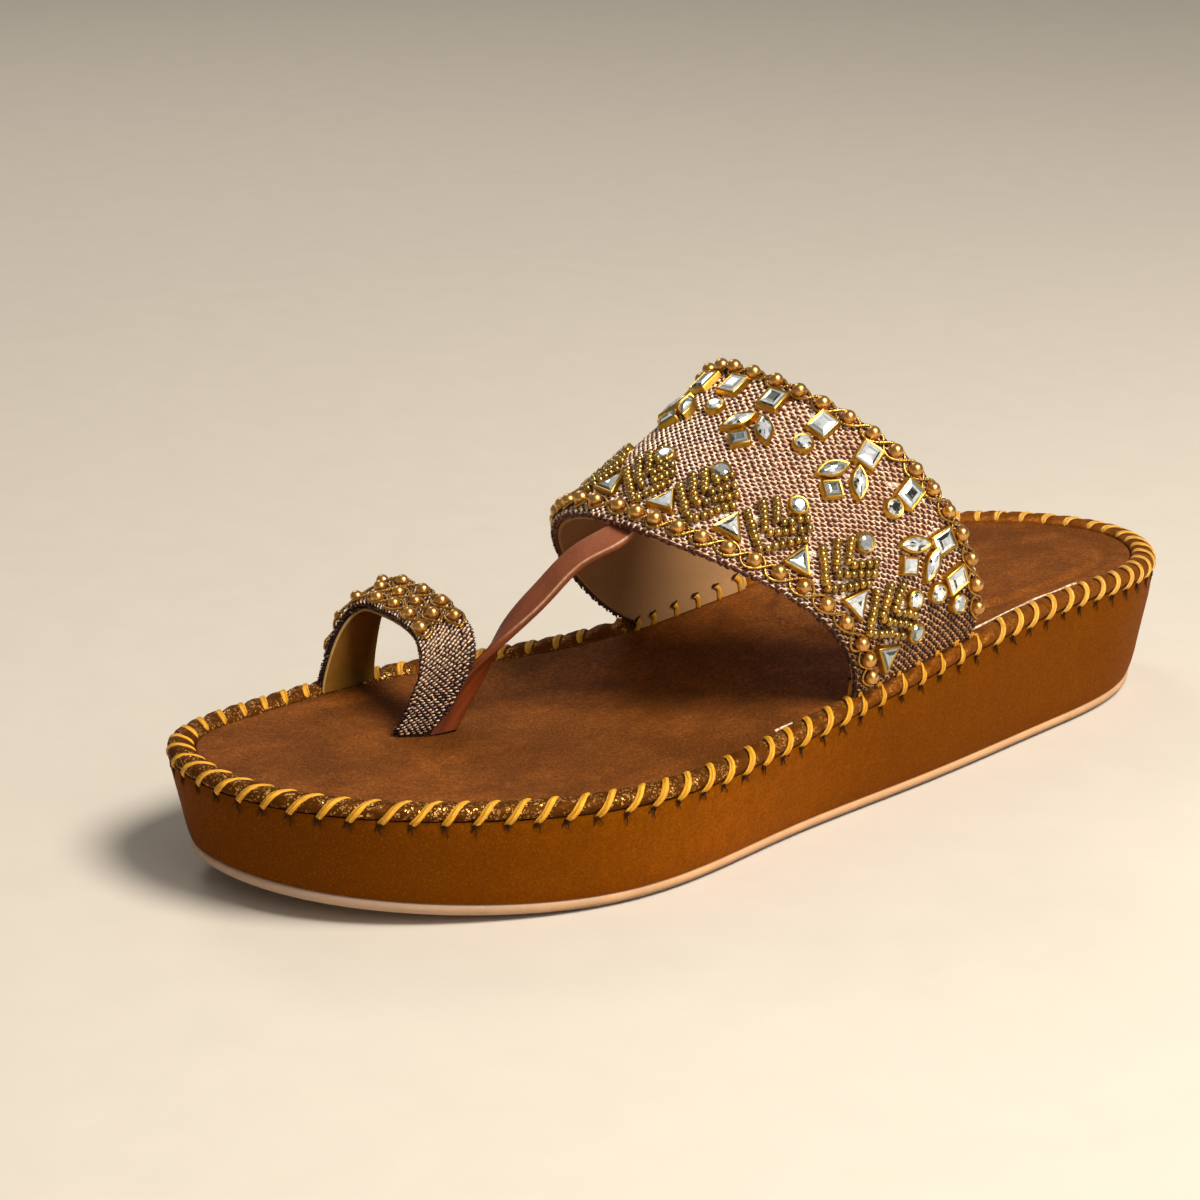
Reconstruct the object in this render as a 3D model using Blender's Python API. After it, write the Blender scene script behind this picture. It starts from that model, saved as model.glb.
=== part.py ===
"""Platform wedge sandal, left shoe, about EU 38.

The toe points along -X, the big toe's side is +Y and up is +Z. The origin is on the floor under the
middle of the sole. All sizes below are in millimetres; MM turns them into Blender's metres.

Pieces: outsole, platform, rim_roll, footbed, upper (instep band with the thong strap lapped under its
front edge) and toe_loop.
"""

from collections import namedtuple

import bpy
import bmesh
import numpy as np

MM = 0.001

# ---------------------------------------------------------------- driving sizes
SOLE_LENGTH = 255.0
FLAT_FROM = -60.0  # the underside is flat from here to the heel
TOE_SPRING = 5.7  # rise of the underside at the toe
OUTSOLE_THICK = 3.0
GAP = 0.3  # clearance between neighbouring pieces
SAMPLES_PER_SIDE = 54  # points from toe to heel along each edge

BAND_WALL = 2.4  # cloth, lining and the turned edge between them
LOOP_WALL = 2.2
STRAP_WIDTH = 7.0
STRAP_FOOT_WIDTH = 5.8  # pinched into its slit
STRAP_THICK = 2.4
STRAP_SINK = 0.9  # how deep the strap is bonded into the lining
STRAP_LAP = (0.0, 0.1, 0.2)  # shares of the band's width that the strap is lapped over
STRAP_AT = 0.0  # where it sits round the band: -1 lateral foot, 0 crest, 1 medial foot
STRAP_STATIONS = 18

HALF = SOLE_LENGTH / 2
TOE_TIP = (-HALF, 12.0)
HEEL_TIP = (HALF, 0.0)

# Edge of the sole at its widest, where the rim roll meets the wall.
Station = namedtuple("Station", "x lateral medial")
SOLE_STATIONS = (
    Station(-120.0, -10.0, 39.0),
    Station(-95.0, -33.5, 48.0),
    Station(-58.0, -47.0, 49.0),
    Station(-18.0, -43.5, 37.0),
    Station(28.0, -40.0, 31.0),
    Station(74.0, -35.0, 32.0),
    Station(111.0, -25.0, 24.5),
)

# Height of the rim roll's crest along the sole: toe, ball, waist, seat, heel.
Height = namedtuple("Height", "x z")
CREST_HEIGHTS = (
    Height(-HALF, 28.7),
    Height(-70.0, 26.4),
    Height(-10.0, 27.9),
    Height(60.0, 34.7),
    Height(HALF, 31.5),
)

# How far the underside is drawn in from the top edge.
DRAW_IN_TOE, DRAW_IN_SIDE, DRAW_IN_HEEL = 3.0, 5.7, 3.6

# Side wall of the platform from bottom to top: share of the height, share of the draw-in.
Wall = namedtuple("Wall", "height draw_in")
PLATFORM_WALL = (
    Wall(0.00, 1.00),
    Wall(0.06, 0.88),
    Wall(0.32, 0.57),
    Wall(0.64, 0.24),
    Wall(0.90, 0.04),
    Wall(1.00, 0.03),
)
WALL_TOP_DROP = 3.15  # below the crest, at the outer seam
SEAT_INSET, SEAT_DROP = 5.5, 4.75  # the platform's top, under the footbed

# Outsole from its underside up: distance inside the bottom edge, height.
Edge = namedtuple("Edge", "inset z")
OUTSOLE_EDGE = (Edge(0.9, 0.0), Edge(0.0, 0.6), Edge(-0.1, 2.4), Edge(0.3, OUTSOLE_THICK))

# Sections given as distance inside the edge of the sole and drop below the crest.
Drop = namedtuple("Drop", "inset drop")
RIM_SECTION = (
    Drop(0.1, 2.8),
    Drop(-0.35, 2.0),
    Drop(-0.1, 1.1),
    Drop(0.6, 0.4),
    Drop(1.8, 0.0),
    Drop(3.1, 0.1),
    Drop(4.3, 0.5),
    Drop(5.2, 1.3),
    Drop(5.2, 4.35),
)
FOOTBED_SECTION = (Drop(5.5, 4.4), Drop(5.5, 2.3), Drop(6.0, 1.75), Drop(7.2, 1.5))
FOOTBED_DROP = FOOTBED_SECTION[-1].drop

# Straps bridge the foot. Each row is one edge of a strap, seen as an arch from the lateral foot over
# the crest to the medial foot. A shoulder is the height share at which that side is widest, roundness
# is the exponent of the side's curve and sweep says how late that side leans to the crest's x.
Arch = namedtuple(
    "Arch",
    "lateral_x crest_x medial_x lateral_y crest_y medial_y crest_z foot_drop"
    " lateral_shoulder medial_shoulder lateral_round medial_round lateral_sweep medial_sweep",
)
BAND_ROWS = (
    Arch(0.2, -37.2, -1.9, -40.4, -6.6, 29.7, 68.0, 0.0, 0.25, 0.24, 0.87, 0.88, 1.96, 0.72),
    Arch(37.8, 10.4, 29.3, -37.5, 6.5, 27.5, 90.1, 0.0, 0.30, 0.25, 0.87, 0.85, 2.05, 0.86),
)
LOOP_ROWS = (
    Arch(-81.3, -69.1, -77.5, 14.0, 36.9, 46.6, 45.4, 1.5, 0.34, 0.34, 0.74, 0.74, 1.21, 1.21),
    Arch(-75.6, -57.9, -62.9, 11.0, 38.9, 46.9, 47.9, 1.5, 0.40, 0.40, 0.72, 0.72, 1.14, 1.14),
)
BAND_ACROSS, BAND_ALONG = 40, 6
LOOP_ACROSS, LOOP_ALONG = 28, 3

# Middle of the thong strap from its slit in the footbed up to the band's front edge.
Route = namedtuple("Route", "x y z")
STRAP_ROUTE = (
    Route(-70.2, 11.0, 25.3),
    Route(-66.8, 11.2, 29.6),
    Route(-60.5, 10.8, 36.3),
    Route(-55.4, 8.5, 43.6),
    Route(-48.6, 3.5, 52.8),
    Route(-42.5, -2.4, 61.3),
)
STRAP_FACE_AT_FOOT = (0.25, 0.97, 0.10)  # the strap's top face turns a quarter on its way up
STRAP_FACE_AT_BAND = (-0.50, -0.10, 0.86)

# Round-edged section of the strap: shares of half the width and of half the thickness.
STRAP_SECTION = (
    (1.0, 0.35), (0.86, 1.0), (-0.86, 1.0), (-1.0, 0.35),
    (-1.0, -0.35), (-0.86, -1.0), (0.86, -1.0), (1.0, -0.35),
)


# ---------------------------------------------------------------- curves
def spline(stations, values, closed=False):
    """Cubic spline through values at stations: natural at its ends, or closed on itself."""
    t = np.asarray(stations, float)
    v = np.asarray(values, float)
    gap = np.diff(t)
    slope = np.diff(v, axis=0) / gap.reshape((-1,) + (1,) * (v.ndim - 1))
    count = len(t)
    system = np.eye(count)
    right = np.zeros_like(v)
    for i in range(1, count - 1):
        system[i, i - 1:i + 2] = gap[i - 1], 2 * (gap[i - 1] + gap[i]), gap[i]
        right[i] = 6 * (slope[i] - slope[i - 1])
    if closed:
        system[0, [0, 1, count - 2]] = 2 * (gap[0] + gap[-1]), gap[0], gap[-1]
        right[0] = 6 * (slope[0] - slope[-1])
        system[-1, [0, -1]] = -1, 1
    bend = np.linalg.solve(system, right)

    def value(x):
        i = int(np.clip(np.searchsorted(t, x) - 1, 0, count - 2))
        b = (x - t[i]) / gap[i]
        a = 1 - b
        curve = (a ** 3 - a) * bend[i] + (b ** 3 - b) * bend[i + 1]
        return a * v[i] + b * v[i + 1] + curve * gap[i] ** 2 / 6

    return value


def chord_lengths(points):
    steps = np.linalg.norm(np.diff(points, axis=0), axis=1)
    return np.concatenate(([0.0], np.cumsum(steps)))


def unit(vector):
    vector = np.asarray(vector, float)
    return vector / np.linalg.norm(vector, axis=-1, keepdims=True)


# ---------------------------------------------------------------- sole
def sole_edge():
    """Points of the sole's edge in plan, toe to heel on the medial side and back on the lateral."""
    medial = [(s.x, s.medial) for s in SOLE_STATIONS]
    lateral = [(s.x, s.lateral) for s in reversed(SOLE_STATIONS)]
    loop = np.array([TOE_TIP, *medial, HEEL_TIP, *lateral, TOE_TIP])
    along = chord_lengths(loop)
    edge = spline(along, loop, closed=True)
    heel = along[len(SOLE_STATIONS) + 1]
    there = np.linspace(0, heel, SAMPLES_PER_SIDE + 1)
    back = np.linspace(heel, along[-1], SAMPLES_PER_SIDE + 1)
    return np.array([edge(t) for t in (*there, *back[1:-1])])


EDGE = sole_edge()
ALONG_EDGE = unit(np.roll(EDGE, -1, axis=0) - np.roll(EDGE, 1, axis=0))
OUTWARD = np.stack((-ALONG_EDGE[:, 1], ALONG_EDGE[:, 0]), axis=1)
crest_height = spline([h.x for h in CREST_HEIGHTS], [h.z for h in CREST_HEIGHTS])


def underside(x):
    """Height of the sole's underside, which springs up before the ball of the foot."""
    share = max(0.0, (FLAT_FROM - x) / (HALF + FLAT_FROM))
    return TOE_SPRING * share ** 2


def draw_in():
    """Distance that the bottom edge lies inside the top edge, at each point of the edge."""
    end = np.where(OUTWARD[:, 0] < 0, DRAW_IN_TOE, DRAW_IN_HEEL)
    return OUTWARD[:, 0] ** 2 * end + OUTWARD[:, 1] ** 2 * DRAW_IN_SIDE


def ring(inset, height):
    """The edge moved inwards by inset, with each point's height from height(x)."""
    plan = EDGE - OUTWARD * np.reshape(inset, (-1, 1))
    return np.array([(x, y, height(x)) for x, y in plan])


def below_crest(drop):
    return lambda x: crest_height(x) - drop


def rim_top_drop(inset):
    """Drop of the top surface below the crest at a distance inside the edge: roll, then footbed."""
    top = RIM_SECTION[1:-1]
    if inset >= RIM_SECTION[-1].inset:
        return FOOTBED_DROP
    return float(np.interp(inset, [d.inset for d in top], [d.drop for d in top]))


def inset_at(x, y):
    """Distance of a point in plan from the sole's edge."""
    along = np.roll(EDGE, -1, axis=0) - EDGE
    share = np.sum(((x, y) - EDGE) * along, axis=1) / np.sum(along ** 2, axis=1)
    nearest = EDGE + along * np.clip(share, 0, 1).reshape(-1, 1)
    return np.linalg.norm(nearest - (x, y), axis=1).min()


def ground(x, y):
    """Height of the sole's upper surface at x, y."""
    return crest_height(x) - rim_top_drop(inset_at(x, y))


# ---------------------------------------------------------------- straps
def signed_power(base, exponent):
    return np.sign(base) * abs(base) ** exponent


def arch_point(row, round_it):
    """Point on a strap's edge row: round_it is -1 at the lateral foot, 0 at the crest, 1 at the medial."""
    lateral = round_it < 0
    foot_x, foot_y = (row.lateral_x, row.lateral_y) if lateral else (row.medial_x, row.medial_y)
    shoulder = row.lateral_shoulder if lateral else row.medial_shoulder
    roundness = row.lateral_round if lateral else row.medial_round
    sweep = row.lateral_sweep if lateral else row.medial_sweep
    foot_z = crest_height(foot_x) - row.foot_drop
    rise = row.crest_z - foot_z
    centre = foot_z + shoulder * rise
    radius = row.crest_z - centre
    under = np.arcsin(((centre - foot_z) / radius) ** (1 / roundness))
    angle = (1 - abs(round_it)) * (np.pi / 2 + under) - under
    reach = (row.crest_y - foot_y) / np.cos(under) ** roundness
    y = row.crest_y - reach * signed_power(np.cos(angle), roundness)
    z = centre + radius * signed_power(np.sin(angle), roundness)
    lean = np.clip((z - foot_z) / rise, 0, 1) ** sweep
    return np.array((foot_x + (row.crest_x - foot_x) * lean, y, z))


def blended(rows, share):
    """Arch row at a share of the way from the front row to the back row."""
    front, back = rows
    return Arch(*(f + (b - f) * share for f, b in zip(front, back)))


def strap_surface(rows, across, along):
    """Grid of points of a strap's outer face, from lateral foot to medial foot and front to back."""
    steps = np.linspace(-1, 1, across + 1)
    edges = [blended(rows, share) for share in np.linspace(0, 1, along + 1)]
    return np.array([[arch_point(row, t) for row in edges] for t in steps])


def strap_normals(grid):
    """Unit normals of a strap's grid, pointing away from the foot."""
    return unit(np.cross(np.gradient(grid, axis=1), np.gradient(grid, axis=0)))


def seat(outer, inner):
    """Lift both faces of a wall clear of the sole where their feet would reach into it."""
    for a, b in zip(outer.reshape(-1, 3), inner.reshape(-1, 3)):
        floor = max(ground(a[0], a[1]), ground(b[0], b[1])) + GAP
        a[2] = max(a[2], floor)
        b[2] = max(b[2], floor)


# ---------------------------------------------------------------- meshes
def new_object(name, vertices, faces, look=None):
    """Object from points in millimetres, its faces turned outwards and its round parts smooth."""
    bm = bmesh.new()
    verts = [bm.verts.new(np.asarray(v) * MM) for v in vertices]
    for face in faces:
        bm.faces.new([verts[i] for i in face])
    bmesh.ops.recalc_face_normals(bm, faces=bm.faces)
    mesh = bpy.data.meshes.new(name)
    bm.to_mesh(mesh)
    bm.free()
    mesh.shade_smooth()
    mesh.set_sharp_from_angle(angle=np.radians(40))
    if look:
        mesh.materials.append(look)
    obj = bpy.data.objects.new(name, mesh)
    bpy.context.scene.collection.objects.link(obj)
    return obj


def skinned(rings, closed_section=False):
    """Vertices and side faces of rings joined in order, each ring closed on itself."""
    count = len(rings[0])
    pairs = [(i, i + 1) for i in range(len(rings) - 1)]
    if closed_section:
        pairs.append((len(rings) - 1, 0))
    faces = []
    for low, high in pairs:
        for k in range(count):
            m = (k + 1) % count
            faces.append((low * count + k, low * count + m, high * count + m, high * count + k))
    return np.concatenate(rings), faces


def flat_cap(first, count):
    """Strips across a sole ring, each joining a medial sample to the lateral one beside it."""
    faces = []
    for k in range(count // 2):
        corners = (k, k + 1, (count - k - 1) % count, (count - k) % count)
        faces.append(tuple(first + c for c in dict.fromkeys(corners)))
    return faces


def slab(name, rings, look):
    """Closed body from rings that run from its underside to its top."""
    vertices, faces = skinned(rings)
    count = len(rings[0])
    faces += flat_cap(0, count)
    faces += flat_cap(len(vertices) - count, count)
    return new_object(name, vertices, faces, look)


def shell(name, outer, inner, look):
    """Closed wall between two grids of points."""
    rows, columns = outer.shape[:2]
    size = rows * columns
    faces = []
    for i in range(rows - 1):
        for j in range(columns - 1):
            a = i * columns + j
            quad = (a, a + 1, a + columns + 1, a + columns)
            faces += [quad, tuple(size + q for q in quad)]
    rim = list(range(columns))
    rim += [i * columns + columns - 1 for i in range(1, rows)]
    rim += [(rows - 1) * columns + j for j in range(columns - 2, -1, -1)]
    rim += [i * columns for i in range(rows - 2, 0, -1)]
    for a, b in zip(rim, rim[1:] + rim[:1]):
        faces.append((a, b, size + b, size + a))
    vertices = np.concatenate((outer.reshape(-1, 3), inner.reshape(-1, 3)))
    return new_object(name, vertices, faces, look)


# ---------------------------------------------------------------- materials
def material(name, colour, roughness, metallic=0.0):
    look = bpy.data.materials.new(name)
    look.use_nodes = True
    shader = look.node_tree.nodes["Principled BSDF"]
    shader.inputs["Base Color"].default_value = (*colour, 1.0)
    shader.inputs["Roughness"].default_value = roughness
    shader.inputs["Metallic"].default_value = metallic
    return look


# ---------------------------------------------------------------- pieces
def make_outsole():
    bottom = draw_in()
    rings = [
        ring(bottom + edge.inset, lambda x, z=edge.z: underside(x) + z) for edge in OUTSOLE_EDGE
    ]
    return slab("outsole", rings, material("tan_rubber", (0.42, 0.25, 0.16), 0.6))


def make_platform():
    """Block between outsole and footbed, with a wall that leans out towards the top."""
    bottom = draw_in()
    lift = OUTSOLE_THICK + GAP

    def wall_height(share):
        def height(x):
            low = underside(x) + lift
            return low + share * (crest_height(x) - WALL_TOP_DROP - low)
        return height

    rings = [ring(bottom * step.draw_in, wall_height(step.height)) for step in PLATFORM_WALL]
    rings.append(ring(SEAT_INSET, below_crest(SEAT_DROP)))
    return slab("platform", rings, material("brown_leather", (0.19, 0.07, 0.025), 0.45, 0.3))


def make_rim_roll():
    rings = [ring(step.inset, below_crest(step.drop)) for step in RIM_SECTION]
    vertices, faces = skinned(rings, closed_section=True)
    return new_object("rim_roll", vertices, faces, material("bronze_leather", (0.2, 0.09, 0.04), 0.35, 0.6))


def make_footbed():
    rings = [ring(step.inset, below_crest(step.drop)) for step in FOOTBED_SECTION]
    return slab("footbed", rings, material("brown_suede", (0.11, 0.045, 0.02), 0.7, 0.1))


def make_strap_wall(name, rows, across, along, wall, look):
    outer = strap_surface(rows, across, along)
    inner = outer - strap_normals(outer) * wall
    seat(outer, inner)
    return shell(name, outer, inner, look)


def strap_path():
    """Middle line of the thong strap, and the way its top face looks, at even stations."""
    under = BAND_WALL - STRAP_SINK + STRAP_THICK / 2
    grid = strap_surface(BAND_ROWS, 100, 20)
    normals = strap_normals(grid)
    at = round((STRAP_AT + 1) / 2 * 100)
    lapped = [grid[at, round(s * 20)] - normals[at, round(s * 20)] * under for s in STRAP_LAP]
    points = np.array([*STRAP_ROUTE, *lapped])
    along = chord_lengths(points)
    route = spline(along, points)
    stations = np.linspace(0, along[-1], STRAP_STATIONS)
    middle = np.array([route(t) for t in stations])
    tangent = unit(np.gradient(middle, axis=0))
    turned = np.clip(stations / along[len(STRAP_ROUTE)], 0, 1)
    turned = (turned * turned * (3 - 2 * turned)).reshape(-1, 1)
    face = np.array(STRAP_FACE_AT_FOOT) * (1 - turned) + np.array(STRAP_FACE_AT_BAND) * turned
    face = unit(face - tangent * np.sum(face * tangent, axis=1, keepdims=True))
    return middle, face, np.cross(tangent, face)


def make_thong():
    """Thong strap as its own body, for the union with the band."""
    middle, face, side = strap_path()
    widths = np.interp(middle[:, 2], (middle[0, 2], middle[-1, 2]), (STRAP_FOOT_WIDTH, STRAP_WIDTH))
    sections = []
    for m, f, s, width in zip(middle, face, side, widths):
        sections.append(np.array([
            m + s * (u * width / 2) + f * (v * STRAP_THICK / 2) for u, v in STRAP_SECTION
        ]))
    lean = unit(middle[1] - middle[0])
    for point in sections[0]:
        level = ground(point[0], point[1]) + GAP
        point += lean * (level - point[2]) / lean[2]
    vertices, faces = skinned(sections)
    count = len(STRAP_SECTION)
    faces.append(tuple(range(count)))
    faces.append(tuple(range(len(vertices) - count, len(vertices))))
    thong = new_object("thong_body", vertices, faces)
    thong.hide_render = True
    thong.display_type = "WIRE"
    return thong


def make_upper():
    look = material("woven_cloth", (0.27, 0.15, 0.1), 0.6, 0.3)
    upper = make_strap_wall("upper", BAND_ROWS, BAND_ACROSS, BAND_ALONG, BAND_WALL, look)
    union = upper.modifiers.new("thong_lapped_on", "BOOLEAN")
    union.operation = "UNION"
    union.solver = "EXACT"
    union.object = make_thong()
    return upper


def make_toe_loop():
    look = material("woven_cloth_loop", (0.24, 0.15, 0.11), 0.6, 0.3)
    return make_strap_wall("toe_loop", LOOP_ROWS, LOOP_ACROSS, LOOP_ALONG, LOOP_WALL, look)


def main():
    for obj in list(bpy.data.objects):
        bpy.data.objects.remove(obj)
    make_outsole()
    make_platform()
    make_rim_roll()
    make_footbed()
    make_upper()
    make_toe_loop()


main()
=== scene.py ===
"""Beaded platform wedge sandal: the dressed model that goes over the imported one.

The toe points along -X, the big toe's side is +Y and up is +Z, with the origin on the floor under
the middle of the sole. Sizes are in millimetres until a mesh is made, and MM turns them into metres.
"""

from collections import namedtuple

import bmesh
import bpy
import numpy as np
from bpy.props import FloatProperty, FloatVectorProperty, PointerProperty
from mathutils import Matrix, Vector


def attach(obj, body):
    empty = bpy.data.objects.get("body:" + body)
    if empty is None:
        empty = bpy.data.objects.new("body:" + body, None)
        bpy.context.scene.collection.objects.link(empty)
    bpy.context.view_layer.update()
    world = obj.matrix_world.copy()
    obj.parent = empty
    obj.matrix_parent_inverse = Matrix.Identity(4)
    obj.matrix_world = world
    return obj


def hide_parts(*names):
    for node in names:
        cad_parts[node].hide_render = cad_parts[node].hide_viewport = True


bl_info = {
    "name": "Beaded platform sandal",
    "version": (1, 0, 0),
    "blender": (4, 5, 0),
    "location": "View3D > Sidebar > Sandal",
    "description": "Dresses a platform sandal with stitches, weave, pearls, beads and set stones",
    "category": "Object",
}

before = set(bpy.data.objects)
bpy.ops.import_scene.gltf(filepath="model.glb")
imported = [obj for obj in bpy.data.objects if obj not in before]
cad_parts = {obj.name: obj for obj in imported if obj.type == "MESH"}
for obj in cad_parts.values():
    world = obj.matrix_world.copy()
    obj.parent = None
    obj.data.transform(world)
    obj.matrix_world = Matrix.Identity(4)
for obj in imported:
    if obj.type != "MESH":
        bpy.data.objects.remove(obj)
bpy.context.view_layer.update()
MM = 0.001

# ---------------------------------------------------------------- sizes shared with the solid model
SOLE_LENGTH = 255.0
FLAT_FROM = -60.0
TOE_SPRING = 5.7
OUTSOLE_THICK = 3.0
WALL_LIFT = 0.1
HALF = SOLE_LENGTH / 2
TOE_TIP = (-HALF, 12.0)
HEEL_TIP = (HALF, 0.0)
Station = namedtuple("Station", "x lateral medial")
SOLE_STATIONS = (
    Station(-120.0, -10.0, 39.0),
    Station(-95.0, -33.5, 48.0),
    Station(-58.0, -47.0, 49.0),
    Station(-18.0, -43.5, 37.0),
    Station(28.0, -40.0, 31.0),
    Station(74.0, -35.0, 32.0),
    Station(111.0, -25.0, 24.5),
)
CREST_HEIGHTS = ((-HALF, 28.7), (-70.0, 26.4), (-10.0, 27.9), (60.0, 34.7), (HALF, 31.5))
DRAW_IN_TOE, DRAW_IN_SIDE, DRAW_IN_HEEL = 3.0, 5.7, 3.6
# Side wall from bottom to top: share of the height, share of the draw-in.
PLATFORM_WALL = ((0.0, 1.0), (0.06, 0.88), (0.32, 0.57), (0.64, 0.24), (0.9, 0.04), (1.0, 0.03))
WALL_TOP_DROP = 3.15
SEAT_INSET, SEAT_DROP = 5.5, 4.75
OUTSOLE_EDGE = (
    (2.1, 0.0), (1.2, 0.2), (0.45, 0.65), (0.02, 1.25),
    (-0.1, 1.9), (0.02, 2.45), (0.4, 2.85), (0.9, OUTSOLE_THICK),
)
# Sections as distance inside the sole's edge and drop below the crest.
RIM_SECTION = (
    (0.1, 2.8), (-0.35, 2.0), (-0.1, 1.1), (0.6, 0.4), (1.8, 0.0),
    (3.1, 0.1), (4.3, 0.5), (5.2, 1.3), (5.2, 4.35),
)
FOOTBED_SECTION = ((5.5, 4.4), (5.38, 2.4), (5.36, 1.95), (5.5, 1.62), (6.1, 1.48), (7.2, 1.5))
FOOTBED_DROP = FOOTBED_SECTION[-1][1]
Arch = namedtuple(
    "Arch",
    "lateral_x crest_x medial_x lateral_y crest_y medial_y crest_z foot_drop"
    " lateral_shoulder medial_shoulder lateral_round medial_round lateral_sweep medial_sweep",
)
BAND_ROWS = (
    Arch(0.2, -37.2, -1.9, -40.4, -6.6, 29.7, 68.0, 0.0, 0.25, 0.24, 0.87, 0.88, 1.96, 0.72),
    Arch(37.8, 10.4, 29.3, -37.5, 6.5, 27.5, 90.1, 0.0, 0.30, 0.25, 0.87, 0.85, 2.05, 0.86),
)
LOOP_ROWS = (
    Arch(-81.3, -69.1, -77.5, 14.0, 36.9, 46.6, 45.4, 1.5, 0.34, 0.34, 0.74, 0.74, 1.21, 1.21),
    Arch(-75.6, -57.9, -62.9, 11.0, 38.9, 46.9, 47.9, 1.5, 0.40, 0.40, 0.72, 0.72, 1.14, 1.14),
)
BAND_WALL, LOOP_WALL = 2.4, 2.2
STRAP_WIDTH, STRAP_FOOT_WIDTH, STRAP_THICK, STRAP_SINK = 7.0, 5.8, 2.4, 0.9
STRAP_LAP = (0.0, 0.1, 0.2)
STRAP_ROUTE = (
    (-70.2, 11.0, 25.3), (-66.8, 11.2, 29.6), (-60.5, 10.8, 36.3),
    (-55.4, 8.5, 43.6), (-48.6, 3.5, 52.8), (-42.5, -2.4, 61.3),
)
STRAP_FACE_AT_FOOT = (0.25, 0.97, 0.10)
STRAP_FACE_AT_BAND = (-0.50, -0.10, 0.86)

# ---------------------------------------------------------------- sizes of the dressed model
OUTLINE_STEPS = 4800  # steps that the sole's outline is measured in
ROUND = 1440  # samples round the sole's edge
RIM_STEPS = 24  # steps over the rim roll's outer face
STRAP_STEPS, STRAP_LINES = 6000, 17  # steps along a strap and lines over it that places are found by
BAND_SPLIT, LOOP_SPLIT = 0.62, 0.66  # share of a strap's wall that is cloth, the rest is lining
CLOTH_DEPTH = 0.12  # the cloth's ground lies this far under the strap's face
FOOT_ROWS = 12  # rows of a strap's samples that are fitted to the sole at each foot
EDGE_SAMPLES = 7  # samples round each rounded edge of a strap's sheet

# The whipstitch over the rim roll: distance inside the edge, drop, share of the way across.
STITCH_PATH = (
    (0.75, 4.05, 0.00), (0.22, 3.65, 0.05), (-0.22, 3.05, 0.12), (-0.42, 2.2, 0.24), (-0.22, 1.25, 0.37),
    (0.45, 0.45, 0.51), (1.5, 0.02, 0.65), (2.7, -0.04, 0.79), (3.8, 0.18, 0.91), (4.7, 0.85, 0.98),
    (4.95, 1.6, 1.00),
)
STITCH_LEAN = 0.95  # how many pitches the inner end is ahead of the outer end
# The wall's leather is dented and folded under a stitch and swells between two.
WALL_DENT, WALL_FOLD, WALL_SWELL = 0.42, 0.12, 0.16
SEAM_THREAD_X = ((39.0, 80.0), (-22.0, -16.0))  # where the pale seam thread shows at the lateral edge
STRAP_TURNED_BY = 0.62  # share of its route by which the strap from the footbed has come round

# Ornament on the band. Along is measured from the lateral foot over the middle of the band, deep is
# the distance from the band's front edge.
TRIANGLE_FIRST, MOTIF_PITCH, TRIANGLE_DEEP = 8.5, 16.45, 8.8
TRIANGLES = 9
# Lines of beads in a fan, front line first: its medial end, its turn and its lateral end, along from
# the middle between two triangles and deep.
FAN_LINES = (
    ((7.7, 14.1), (-0.4, 6.6), (-5.4, 14.0)),
    ((6.9, 17.9), (1.1, 11.2), (-4.2, 17.0)),
    ((5.3, 20.4), (1.2, 15.1), (-2.4, 19.2)),
    ((3.6, 22.4), (1.3, 18.7), (-0.4, 21.6)),
)
LONG_FANS = (3, 4, 5, 6, 7)  # the fans that have all four lines
BEADS_LOST = 0.015
RECTANGLES_ALONG = (16.3, 25.2, 37.7, 48.8, 59.8, 70.9, 81.4, 92.3, 103.2, 114.0, 125.0, 137.0)
RECTANGLE_FROM_BACK = 6.9
LEAVES_ALONG = (25.2, 48.8, 70.9, 92.3, 114.0, 137.0)
# Round stones by the rectangles: along, share of the band's width.
ROUNDS_BY_RECTANGLES = (
    (15.9, 0.68), (37.3, 0.73), (59.8, 0.73), (81.6, 0.73), (103.2, 0.73), (125.0, 0.73), (11.2, 0.81),
)
LONE_ROUND = (10.0, 18.0)
FAN_ROUND_DEEP = 21.4
FRONT_PEARLS_DEEP, BACK_PEARLS_FROM_EDGE = 3.1, 1.8
LOOP_PEARL = 0.88  # size of the toe loop's pearls to the band's


# ---------------------------------------------------------------- values a user would change
def linear(code):
    """Scene-linear colour of an sRGB hex value."""
    parts = [int(code[i:i + 2], 16) / 255 for i in (0, 2, 4)]
    return [c / 12.92 if c <= 0.04045 else ((c + 0.055) / 1.055) ** 2.4 for c in parts]


def size(name, description, millimetres):
    return FloatProperty(
        name=name, description=description, default=millimetres * MM, min=0.0, unit="LENGTH", precision=5
    )


def colour(name, description, code):
    return FloatVectorProperty(
        name=name, description=description, default=linear(code), subtype="COLOR", min=0.0, max=1.0
    )


class SandalSole(bpy.types.PropertyGroup):
    stitch_pitch: size("Stitch pitch", "Distance between whipstitches round the edge", 6.3)
    cord_width: size("Cord width", "Width of the whipstitch cord", 1.5)
    cord_thick: size("Cord thickness", "Thickness of the flattened whipstitch cord", 0.65)
    puff: size("Puff", "How far the rim swells between two stitches", 0.75)
    dish: size("Dish", "How deep the footbed is hollowed under the heel and ball", 0.7)


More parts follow.
